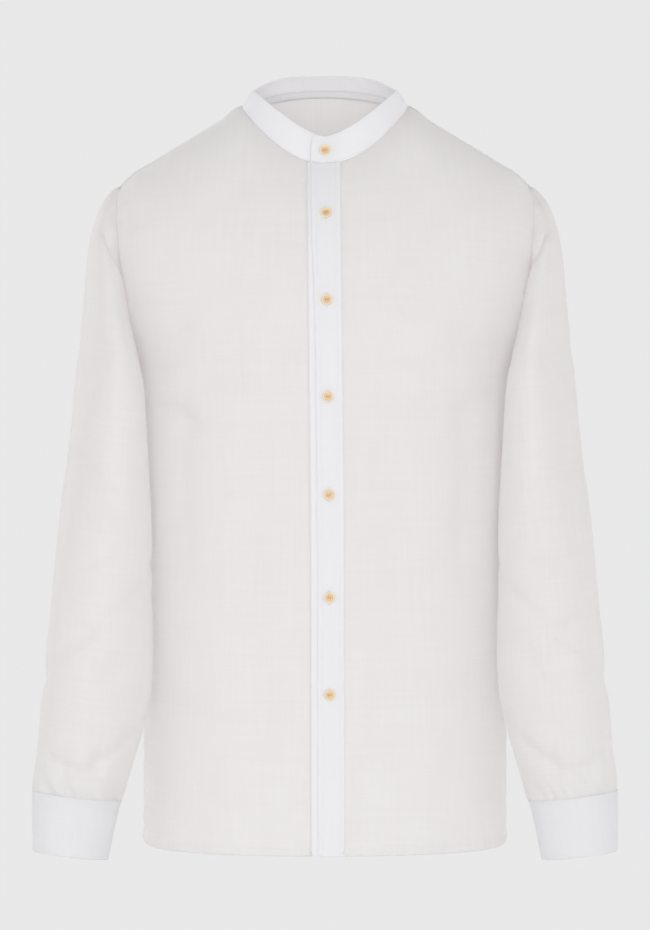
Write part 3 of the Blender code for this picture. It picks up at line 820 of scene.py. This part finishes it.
def neck_stand(grid):
    """The body's cloth standing up a little against the collar, at and behind the neck points."""
    x, y = np.abs(grid[..., 0]), grid[..., 1]
    rise = 0.0062 * np.exp(-(((x - 0.0905) / 0.012) ** 2) - ((y - 0.010) / 0.016) ** 2)
    return grid + to_points(0, 0, rise)


def body_cloth(grid, folded, seams):
    grid = folded_by_hand(neck_stand(grid), FRONT_FOLDS, BACK_FOLDS)
    return worked(grid, folded, seams, calm=0.012)


hem_fold = ("first", HEM_WIDTH, 0.0007)
hem_pucker = ("first", 0.00070, 0.013, 0.0105, 1.0)
left_front = panel(FRONT, 1, 0.0130)
left_front = body_cloth(
    left_front,
    folded=(hem_fold, ("right", SEAM_WIDTH, 0.0005)),
    seams=(hem_pucker, ("right", 0.00040, 0.014, 0.0105, 2.0), ("left", 0.00030, 0.016, 0.0130, 3.0)),
)
right_front = panel(FRONT, -1, STAND_LEFT - 0.0015)[:, ::-1]
right_front = body_cloth(
    right_front,
    folded=(hem_fold, ("left", SEAM_WIDTH, 0.0005)),
    seams=(
        ("first", 0.00055, 0.013, 0.0112, 4.0),
        ("left", 0.00042, 0.014, 0.0098, 5.0),
        ("right", 0.0003, 0.012, 0.014, 6.0),
    ),
)
whole_back = body_cloth(
    back_panel(),
    folded=(hem_fold, *((edge, SEAM_WIDTH, 0.0004) for edge in ("left", "right", "last"))),
    seams=(
        ("first", 0.00055, 0.013, 0.0108, 7.0),
        ("left", 0.00045, 0.016, 0.0105, 8.0),
        ("right", 0.00045, 0.016, 0.0102, 9.0),
    ),
)
for name, grid in (("front_left_cloth", left_front), ("front_right_cloth", right_front)):
    piece = cloth(name, grid, FINE_CLOTH, linen_material)
    declared(name[:-6])
piece = cloth("back_cloth", whole_back, FINE_CLOTH, linen_material)
declared("back")


# Centre front strips.

PLACKET_STITCH = 0.0052
STRIP_OFFSETS = np.array((0, 0.0007, 0.0015, 0.0027, 0.0042, 0.0052, 0.0062, 0.0080, 0.0110))
half_strip = PLACKET_HALF_WIDTH - STRIP_OFFSETS
placket_offsets = np.concatenate([-half_strip, (0,), half_strip[::-1]])
placket_grid = front_strip(placket_offsets)
free_edge = np.clip(-placket_offsets / PLACKET_HALF_WIDTH, 0, 1) * smooth((-0.110 - placket_grid[..., 2]) / 0.130)
placket_grid[..., 0] += 0.0028 * free_edge
edge = PLACKET_HALF_WIDTH - np.abs(placket_offsets)
lift = 0.0021 - 0.0006 * np.exp(-((edge / 0.0010) ** 2))
lift = lift - 0.00025 * np.exp(-(((edge - PLACKET_STITCH) / 0.0009) ** 2))
lift = lift - 0.0007 * smooth((placket_offsets - 0.006) / 0.009)
placket_grid = raised(placket_grid, np.broadcast_to(lift, placket_grid.shape[:2]))
placket_grid = folded_by_hand(placket_grid, FRONT_FOLDS, ())
placket_grid = worked(
    placket_grid,
    seams=(("left", 0.00030, 0.012, 0.0170, 10.0), ("right", 0.00032, 0.008, 0.0110, 11.0)),
)
piece = cloth("placket_cloth", placket_grid, FINE_DOUBLED, doubled_material)
declared("placket")
stand_offsets = np.linspace(-STAND_LEFT, STAND_RIGHT, 14)
stand_grid = front_strip(stand_offsets)
stand_grid = folded_by_hand(stand_grid, FRONT_FOLDS, ())
stand_grid = raised(stand_grid, np.full(stand_grid.shape[:2], 0.0004))
piece = cloth("button_stand_cloth", stand_grid, FINE_DOUBLED, doubled_material)
declared("button_stand")


# Sleeves.


def sleeve_grid():
    """The wearer's left sleeve, as rings from the cuff up to the armhole."""
    turns = np.arange(132) / 132
    starts = np.array((0, 0.004, 0.008, 0.014, 0.022, 0.032, 0.044))
    parts = np.concatenate([starts, np.linspace(starts[-1], 1, 52)[1:-1]])
    cap = sleeve_cap(parts[:, None], turns)
    length = SLEEVE_START_Z - SLEEVE_END_Z
    heights = SLEEVE_START_Z - length * places(length, seam_at_start=False)
    tube = sleeve_point(heights[:, None], turns)
    return np.concatenate([cap, tube])[::-1]


SLEEVE_FRONT_FOLDS = (
    # The overhang in front of the armhole: a sharp trough inside a ridge.
    (
        ((0.2310, -0.1230), (0.2226, -0.1343), (0.2146, -0.1526), (0.2065, -0.1678), (0.1990, -0.1950)),
        0.0045,
        0.0030,
        0.0042,
    ),
    (
        ((0.2400, -0.1230), (0.2310, -0.1380), (0.2230, -0.1560), (0.2150, -0.1720), (0.2080, -0.2000)),
        0.010,
        0.006,
        -0.0024,
    ),
    # Pulls out from the armpit and over the upper arm.
    (((0.206, -0.240), (0.226, -0.262), (0.250, -0.300)), 0.010, 0.016, 0.0028),
    (((0.256, -0.150), (0.250, -0.210), (0.246, -0.270)), 0.014, 0.010, 0.0018),
    # Round the elbow.
    (((0.262, -0.345), (0.228, -0.382), (0.196, -0.420)), 0.012, 0.022, 0.0030),
    (((0.186, -0.430), (0.215, -0.455), (0.250, -0.470)), 0.010, 0.016, 0.0026),
    (((0.268, -0.505), (0.232, -0.540), (0.196, -0.580)), 0.011, 0.020, 0.0034),
    (((0.190, -0.545), (0.215, -0.580), (0.246, -0.600)), 0.016, 0.010, 0.0024),
    # Above the cuff.
    (((0.284, -0.650), (0.268, -0.664), (0.236, -0.672)), 0.006, 0.010, 0.0026),
    (((0.222, -0.635), (0.228, -0.665), (0.232, -0.692)), 0.008, 0.006, 0.0020),
    (((0.262, -0.655), (0.262, -0.678), (0.260, -0.695)), 0.006, 0.008, 0.0016),
)
SLEEVE_BACK_FOLDS = (
    (((0.206, -0.225), (0.236, -0.240), (0.262, -0.262)), 0.010, 0.018, 0.0042),
    (((0.198, -0.275), (0.228, -0.300), (0.262, -0.340)), 0.012, 0.018, 0.0040),
    (((0.262, -0.395), (0.228, -0.420), (0.192, -0.430)), 0.010, 0.018, 0.0042),
    (((0.192, -0.470), (0.226, -0.488), (0.266, -0.476)), 0.018, 0.012, 0.0040),
    (((0.276, -0.545), (0.240, -0.562), (0.204, -0.552)), 0.012, 0.018, 0.0036),
    (((0.252, -0.615), (0.250, -0.655), (0.250, -0.696)), 0.007, 0.007, 0.0040),
    (((0.232, -0.625), (0.236, -0.660), (0.240, -0.696)), 0.007, 0.008, 0.0034),
)

left_sleeve = folded_by_hand(sleeve_grid(), SLEEVE_FRONT_FOLDS, SLEEVE_BACK_FOLDS, closed=True)
for name, grid in (("sleeve_left_cloth", left_sleeve), ("sleeve_right_cloth", mirrored(left_sleeve))):
    seed = 12.0 if name == "sleeve_left_cloth" else 15.0
    grid = worked(
        grid,
        seams=(("last", 0.0006, 0.016, 0.0105, seed), ("first", 0.0011, 0.018, 0.0160, seed + 1)),
        closed=True,
    )
    piece = cloth(name, grid, FINE_CLOTH, linen_material, closed=True)
    declared(name[:-6])


# Slit plackets behind the sleeves, each with a pointed end.

POINT_HEIGHT = 0.011


def slit_placket():
    shares = places(0.110, seam_at_start=False, step=0.0025)[:, None]
    heights = SLIT_BOTTOM_Z + (SLIT_TOP_Z - SLIT_BOTTOM_Z) * shares
    from_top = (SLIT_TOP_Z - heights) / POINT_HEIGHT
    widths = np.clip(from_top, 0.04, 1)
    middle, half = sum(SLIT_TURNS) / 2, (SLIT_TURNS[1] - SLIT_TURNS[0]) / 2
    return sleeve_point(heights, middle + half * widths * np.linspace(-1, 1, 15))


left_slit = folded_by_hand(slit_placket(), SLEEVE_FRONT_FOLDS, SLEEVE_BACK_FOLDS)
left_slit = raised(left_slit, np.full(left_slit.shape[:2], 0.0013))
slits = (("sleeve_placket_left_cloth", left_slit), ("sleeve_placket_right_cloth", mirrored(left_slit)))
for name, grid in slits:
    piece = cloth(name, grid, FINE_DOUBLED, doubled_material)
    declared(name[:-6])
    edges = [line_beside(grid, edge, 0.0019) for edge in ("left", "right")]
    edges = [clear_of(line, 0.0, 0.90) for line in edges]
    lines = [*edges, line_beside(grid[:-8], "last", 0.014)]
    stitching(name.replace("cloth", "stitches"), lines, thread_white)


# Cuffs.


def cuff_point(z, along_cuff):
    """The outside of the cuff, from its under end at 0 past one turn to its over end."""
    point = sleeve_ring(z, CUFF_SEAM_TURN + along_cuff)
    lift = 0.0008 + LAYER_STEP * smooth((along_cuff - 1 + CUFF_RAMP) / CUFF_RAMP)
    return point + unit(point - sleeve_middle(z)) * np.asarray(lift)[..., None]


CUFF_TURNS = 1.1
cuff_places = places(0.263) * CUFF_TURNS
cuff_heights = CUFF_END_Z + (SLEEVE_END_Z + 0.0012 - CUFF_END_Z) * places(0.060)[:, None]
left_cuff = cuff_point(cuff_heights, cuff_places)
for name, grid in (("cuff_left_cloth", left_cuff), ("cuff_right_cloth", mirrored(left_cuff))):
    seed = 20.0 if name == "cuff_left_cloth" else 24.0
    grid = worked(
        grid,
        seams=(("last", 0.0003, 0.008, 0.0100, seed), ("first", 0.00025, 0.010, 0.0120, seed + 1)),
    )
    # The cuffs take the darker copy of the doubled linen, which is painted shade.
    piece = cloth(name, grid, FINE_DOUBLED, cuff_shaded_material)
    declared(name[:-6])
    lines = [line_beside(grid, edge, 0.0022) for edge in ("first", "last", "left", "right")]
    stitching(name.replace("cloth", "stitches"), lines, thread_white)


# Collar band and neck tape.


BAND_HEIGHT = 0.0283
BAND_CORNER = 0.0085


def band_grid():
    start = -math.asin(BAND_UNDER_END_X / NECK_HALF_WIDTH)
    end = 2 * math.pi + math.asin(-BAND_OVER_END_X / NECK_HALF_WIDTH)
    angles = start + (end - start) * places(0.50, step=0.0028)
    ups = places(0.028, step=0.0020)[:, None]
    from_end = np.minimum(1, (end - angles) * NECK_HALF_WIDTH / BAND_CORNER)
    cut = BAND_CORNER / BAND_HEIGHT * (1 - np.sqrt(1 - (1 - from_end) ** 2))
    grid = band_point(angles, ups * (1 - cut))
    lift = 0.0003 + LAYER_STEP * smooth((angles - 2 * math.pi + BAND_RAMP) / BAND_RAMP)
    grid = grid + unit(grid * (1, 1, 0)) * lift[:, None]
    return grid[:, ::-1]


band = worked(
    band_grid(),
    seams=(("first", 0.00025, 0.007, 0.0120, 30.0), ("last", 0.00020, 0.008, 0.0150, 31.0)),
)
piece = cloth("collar_band_cloth", band, FINE_DOUBLED, doubled_material)
declared("collar_band")

tape_angles = np.linspace(math.pi - TAPE_ENDS, math.pi + TAPE_ENDS, 80)
tape_grid = band_point(tape_angles, np.linspace(TAPE_START, TAPE_END, 6)[:, None])[:, ::-1]
tape_grid = raised(tape_grid, np.full(tape_grid.shape[:2], -(FINE_DOUBLED + 0.0004)))
piece = cloth("neck_tape_cloth", tape_grid, FINE_CLOTH, doubled_material)
declared("neck_tape")


# Buttons.

HOLE_RADIUS = 0.00062
HOLE_OUT = 0.00150


def ring_faces(first, rings, sides):
    """The faces between rings of points that follow one another from the first point."""
    faces = []
    for ring in range(rings - 1):
        low, high = first + ring * sides, first + (ring + 1) * sides
        for side in range(sides):
            after = (side + 1) % sides
            faces.append((low + side, low + after, high + after, high + side))
    return faces


def turned(name, profile, steps, materials):
    """A profile of (radius, height) points turned round the local Z axis."""
    angles = 2 * math.pi * np.arange(steps) / steps
    points = [(r * math.cos(a), r * math.sin(a), z) for r, z in profile for a in angles]
    last = (len(profile) - 1) * steps
    ends = [tuple(range(steps))[::-1], tuple(range(last, last + steps))]
    return mesh_object(name, points, ring_faces(0, len(profile), steps) + ends, materials)


def button_mesh():
    """A turned button with a raised, paler rim and four holes."""
    radius, thick = BUTTON_RADIUS, BUTTON_THICKNESS
    profile = (
        (0.80 * radius, 0.0),
        (0.93 * radius, 0.12 * thick),
        (0.99 * radius, 0.36 * thick),
        (1.00 * radius, 0.58 * thick),
        (0.975 * radius, 0.80 * thick),
        (0.92 * radius, 0.94 * thick),
        (0.85 * radius, 1.00 * thick),
        (0.77 * radius, 0.97 * thick),
        (0.70 * radius, 0.84 * thick),
        (0.62 * radius, 0.72 * thick),
        (0.45 * radius, 0.66 * thick),
        (0.20 * radius, 0.64 * thick),
    )
    body = turned("button_body", profile, 40, [button_material, rim_material])
    for face in body.data.polygons:
        if face.center.xy.length > 0.66 * radius:
            face.material_index = 1
    holes = []
    for corner in range(4):
        angle = math.pi / 4 + corner * math.pi / 2
        # The walls each hole cuts take a dark brown: painted shade inside the holes, not a colour of the horn.
        rod = turned("hole", ((HOLE_RADIUS, -0.001), (HOLE_RADIUS, 0.004)), 14, [hole_shade_material])
        rod.location = (HOLE_OUT * math.cos(angle), HOLE_OUT * math.sin(angle), 0)
        rod.data.flip_normals()
        cut = body.modifiers.new("Hole", "BOOLEAN")
        cut.operation = "DIFFERENCE"
        cut.solver = "EXACT"
        cut.object = rod
        cut.material_mode = "TRANSFER"
        holes.append(rod)
    bpy.context.view_layer.update()
    graph = bpy.context.evaluated_depsgraph_get()
    mesh = bpy.data.meshes.new_from_object(body.evaluated_get(graph))
    for helper in (body, *holes):
        bpy.data.objects.remove(helper, do_unlink=True)
    return mesh


button_material, tree, shader = shader_of("button_horn", (0.62, 0.43, 0.24), 0.38)
streaks = tree.nodes.new("ShaderNodeTexNoise")
streaks.inputs["Scale"].default_value = 420.0
streaks.inputs["Detail"].default_value = 3.0
position = tree.nodes.new("ShaderNodeTexCoord")
tree.links.new(position.outputs["Object"], streaks.inputs["Vector"])
blend = tree.nodes.new("ShaderNodeMix")
blend.data_type = "RGBA"
blend.inputs[6].default_value = (0.66, 0.45, 0.24, 1)
blend.inputs[7].default_value = (0.82, 0.62, 0.38, 1)
tree.links.new(streaks.outputs["Fac"], blend.inputs[0])
tree.links.new(blend.outputs[2], shader.inputs["Base Color"])
rim_material, _, _ = shader_of("button_rim", (0.82, 0.69, 0.52), 0.42)
# Painted shade: the hole walls are the button's horn coloured darker to stand in for the shade inside the holes.
hole_shade_material, _, _ = shader_of("button_hole_painted_shade", (0.42, 0.26, 0.13), 0.8)
thread_brown, _, _ = shader_of("button_thread", (0.46, 0.29, 0.16), 0.85)
button_shape = button_mesh()


def thread_bars(name, place, half_length, matrix, scale):
    """Two bars of thread between the holes, sunk into them at their ends."""
    points, faces = [], []
    steps, sides, thick = 9, 8, 0.00036
    for bar in (-1, 1):
        first = len(points)
        for step in range(steps):
            share = 2 * step / (steps - 1) - 1
            sunk = 0.0007 * max(0, abs(share) - 0.8) / 0.2
            lift = 0.70 * BUTTON_THICKNESS + 0.00045 * (1 - share**4) - sunk
            for side in range(sides):
                angle = 2 * math.pi * side / sides
                x = bar * place + thick * math.cos(angle)
                points.append((x, share * half_length, lift + thick * math.sin(angle)))
        faces += ring_faces(first, steps, sides)
    made = mesh_object(name, [scale * np.array(point) for point in points], faces, [thread_brown])
    made.matrix_world = matrix
    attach(made, "root")
    return made


def button(name, node, seat, outward, scale=1.0, turn=0.0):
    made = bpy.data.objects.new(name, button_shape)
    bpy.context.scene.collection.objects.link(made)
    rotation = Vector((0, 0, 1)).rotation_difference(Vector(outward)).to_matrix()
    rotation = rotation @ Matrix.Rotation(turn, 3, "Z")
    matrix = Matrix.Translation(Vector(seat) + Vector(outward) * SEAM_GAP) @ rotation.to_4x4()
    made.matrix_world = matrix @ Matrix.Scale(scale, 4)
    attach(made, "root")
    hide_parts(node)
    offset = HOLE_OUT * math.cos(math.pi / 4)
    thread_bars(name + "_thread", offset, offset * 1.15, matrix, scale)


def front_outward(x, z):
    """The way out of the centre front here."""
    step = 0.004
    return unit(np.cross((1, 0, 0), body_at(FRONT, x, z + step) - body_at(FRONT, x, z - step)))


collar_seat = band_point(0, 0.5) - np.array((0, LAYER_STEP, 0))
collar_outward = unit(np.cross((1, 0, 0), band_point(0, 0.9) - band_point(0, 0.1)))
button("button_top", "button_1", collar_seat, collar_outward, turn=0.10)
TURNS = (0.35, -0.12, 0.05, 0.22, -0.30, 0.14)
for number, (z, turn) in enumerate(zip(BUTTON_HEIGHTS, TURNS), 2):
    x = along(PLACKET_MIDDLE, z)[0]
    outward = front_outward(x, z)
    seat = body_at(FRONT, x, z) + outward * LAYER_STEP
    button(f"button_front_{number}", f"button_{number}", seat, outward, turn=turn)
place = 1.05
low, high = cuff_point(CUFF_END_Z, place), cuff_point(SLEEVE_END_Z, place)
before, after = cuff_point(CUFF_END_Z, place - 0.01), cuff_point(CUFF_END_Z, place + 0.01)
outward = unit(np.cross(after - before, high - low))
for side_name, side in (("left", 1), ("right", -1)):
    mirror = np.array((side, 1, 1))
    seat = (low + high) / 2 * mirror
    scale = CUFF_BUTTON_RADIUS / BUTTON_RADIUS
    button(f"button_cuff_{side_name}", f"cuff_button_{side_name}", seat, outward * mirror, scale)


# Stitching.


HEM_STITCH = HEM_WIDTH - 0.001
SEAM_STITCH = SEAM_WIDTH - 0.0008
ARMHOLE_EDGES = ((left_front, "right"), (right_front, "left"), (whole_back, "left"), (whole_back, "right"))
body_lines = [line_beside(grid, "first", HEM_STITCH) for grid in (left_front, right_front, whole_back)]
body_lines += [clear_of(line_beside(grid, edge, SEAM_STITCH), 0.005, 0.955) for grid, edge in ARMHOLE_EDGES]
body_lines += [
    clear_of(line_beside(left_front, "last", 0.0030), 0.36, 0.93),
    clear_of(line_beside(right_front, "last", 0.0030), 0.07, 0.64),
]
stitching("stitches_body", body_lines, thread_white)
placket_lines = [
    line_beside(placket_grid, "left", PLACKET_STITCH),
    line_beside(placket_grid, "right", PLACKET_STITCH),
    line_beside(stand_grid, "left", 0.0016),
]
stitching("stitches_placket", placket_lines, thread_white)
band_lines = [line_beside(band, edge, 0.0022) for edge in ("first", "last", "left", "right")]
stitching("stitches_band", band_lines, thread_white)


def buttonhole(name, middle, along_hole, outward, length=0.0150):
    """Two rows of close bars either side of a slit, as a buttonhole is worked, with a bar at each end."""
    along_hole, outward = unit(np.array(along_hole)), unit(np.array(outward))
    sideways = np.cross(along_hole, outward)
    lines = []
    for place in np.arange(-length / 2, length / 2, 0.00042):
        for side in (-1, 1):
            start = middle + along_hole * place + sideways * side * 0.00025
            end = start + sideways * side * 0.0010
            lines.append((np.array([start, end]), np.array([outward, outward])))
    for end in (-1, 1):
        bar = middle + along_hole * end * length / 2
        ends = np.array([bar - sideways * 0.0006, bar + sideways * 0.0006])
        lines.append((ends, np.array([outward, outward])))
    stitching(name, lines, thread_white, length=0.0010, gap=0.00001, width=0.00040)


for number, z in enumerate(BUTTON_HEIGHTS, 2):
    x = along(PLACKET_MIDDLE, z)[0]
    outward = front_outward(x, z)
    down = body_at(FRONT, x, z - 0.004) - body_at(FRONT, x, z + 0.004)
    buttonhole(f"buttonhole_{number}", body_at(FRONT, x, z) + outward * 0.0021, down, outward)
buttonhole("buttonhole_top", collar_seat + np.array((0.0018, 0, 0)), (1, 0, 0), collar_outward, 0.0140)


def inside_line(angle_start, angle_end, up, inward):
    angles = np.linspace(angle_start, angle_end, 160)
    grid = band_point(angles, np.array([[up - 0.05], [up], [up + 0.05]]))[:, ::-1]
    normals = grid_normals(grid)
    return (grid - normals * inward)[1], -normals[1]


tape_lines = [
    inside_line(math.pi - TAPE_ENDS, math.pi + TAPE_ENDS, up, FINE_DOUBLED + FINE_CLOTH + 0.0004)
    for up in (TAPE_START + 0.03, TAPE_END - 0.03)
]
stitching("stitches_tape", tape_lines, thread_green, length=0.0026, gap=0.0005, width=0.0006)


# Light, floor and camera.

VIEW_DISTANCE = 4
VIEW_HEIGHT = 0.958
VIEW_MIDDLE_Z = -0.3667
FLOOR_HALF = 2
FLOOR_Z = -1.25
DOME_RADIUS = 12
PAPER = 0.81
AMBIENT = 0.68
LIT_POINT = Vector((0, 0, -0.35))

# name, place, size, power, whether it throws shadows
LIGHTS = (
    ("side_-1", (-3.2, -2.6, -0.75), (2.6, 2.2), 22, False),
    ("side_+1", (3.2, -2.6, -0.75), (2.6, 2.2), 22, False),
    ("behind", (-2.8, 3.6, 1.4), (1.6, 1.6), 50, True),
    ("behind_far", (3.2, 3.0, 0.2), (2.0, 2.0), 22, True),
    ("front", (0, -5.0, -0.5), (3.0, 2.2), 67, True),
)


def light(name, at, size, power, shadows):
    data = bpy.data.lights.new(name, "AREA")
    data.shape = "RECTANGLE"
    data.size, data.size_y = size
    data.energy = power
    data.use_shadow = shadows
    made = bpy.data.objects.new(name, data)
    bpy.context.scene.collection.objects.link(made)
    made.location = at
    made.rotation_euler = (LIT_POINT - Vector(at)).to_track_quat("-Z", "Y").to_euler()


def plain_world(grey):
    world = bpy.data.worlds.new("studio")
    bpy.context.scene.world = world
    world.use_nodes = True
    background = world.node_tree.nodes["Background"]
    background.inputs["Color"].default_value = (grey, grey, grey, 1)
    background.inputs["Strength"].default_value = 1.0


floor_material, _, _ = shader_of("floor", (0.78, 0.78, 0.78), 0.9)
floor = mesh_object(
    "floor",
    [(x * FLOOR_HALF, y * FLOOR_HALF, FLOOR_Z) for x, y in ((-1, -1), (1, -1), (1, 1), (-1, 1))],
    [(0, 1, 2, 3)],
    [floor_material],
    smooth_faces=False,
)


def backdrop():
    """A plain pale dome that the camera sees and that sheds no light."""
    mesh = bpy.data.meshes.new("backdrop")
    shape = bmesh.new()
    bmesh.ops.create_uvsphere(shape, u_segments=48, v_segments=24, radius=DOME_RADIUS)
    shape.to_mesh(mesh)
    shape.free()
    paper = bpy.data.materials.new("backdrop")
    paper.use_nodes = True
    paper.node_tree.nodes.remove(paper.node_tree.nodes["Principled BSDF"])
    glow = paper.node_tree.nodes.new("ShaderNodeEmission")
    glow.inputs["Color"].default_value = (PAPER, PAPER, PAPER, 1)
    paper.node_tree.links.new(glow.outputs[0], paper.node_tree.nodes["Material Output"].inputs["Surface"])
    mesh.materials.append(paper)
    made = bpy.data.objects.new("backdrop", mesh)
    bpy.context.scene.collection.objects.link(made)
    made.visible_diffuse = made.visible_glossy = made.visible_transmission = made.visible_shadow = False


backdrop()
plain_world(AMBIENT)
for row in LIGHTS:
    light(*row)

camera_data = bpy.data.cameras.new("camera")
camera_data.sensor_fit = "VERTICAL"
camera_data.sensor_height = 36
camera_data.lens = 36 * VIEW_DISTANCE / VIEW_HEIGHT
camera = bpy.data.objects.new("camera", camera_data)
bpy.context.scene.collection.objects.link(camera)
camera.location = (0, -VIEW_DISTANCE, VIEW_MIDDLE_Z)
camera.rotation_euler = (math.pi / 2, 0, 0)
bpy.context.scene.camera = camera
bpy.context.scene.view_settings.view_transform = "Standard"
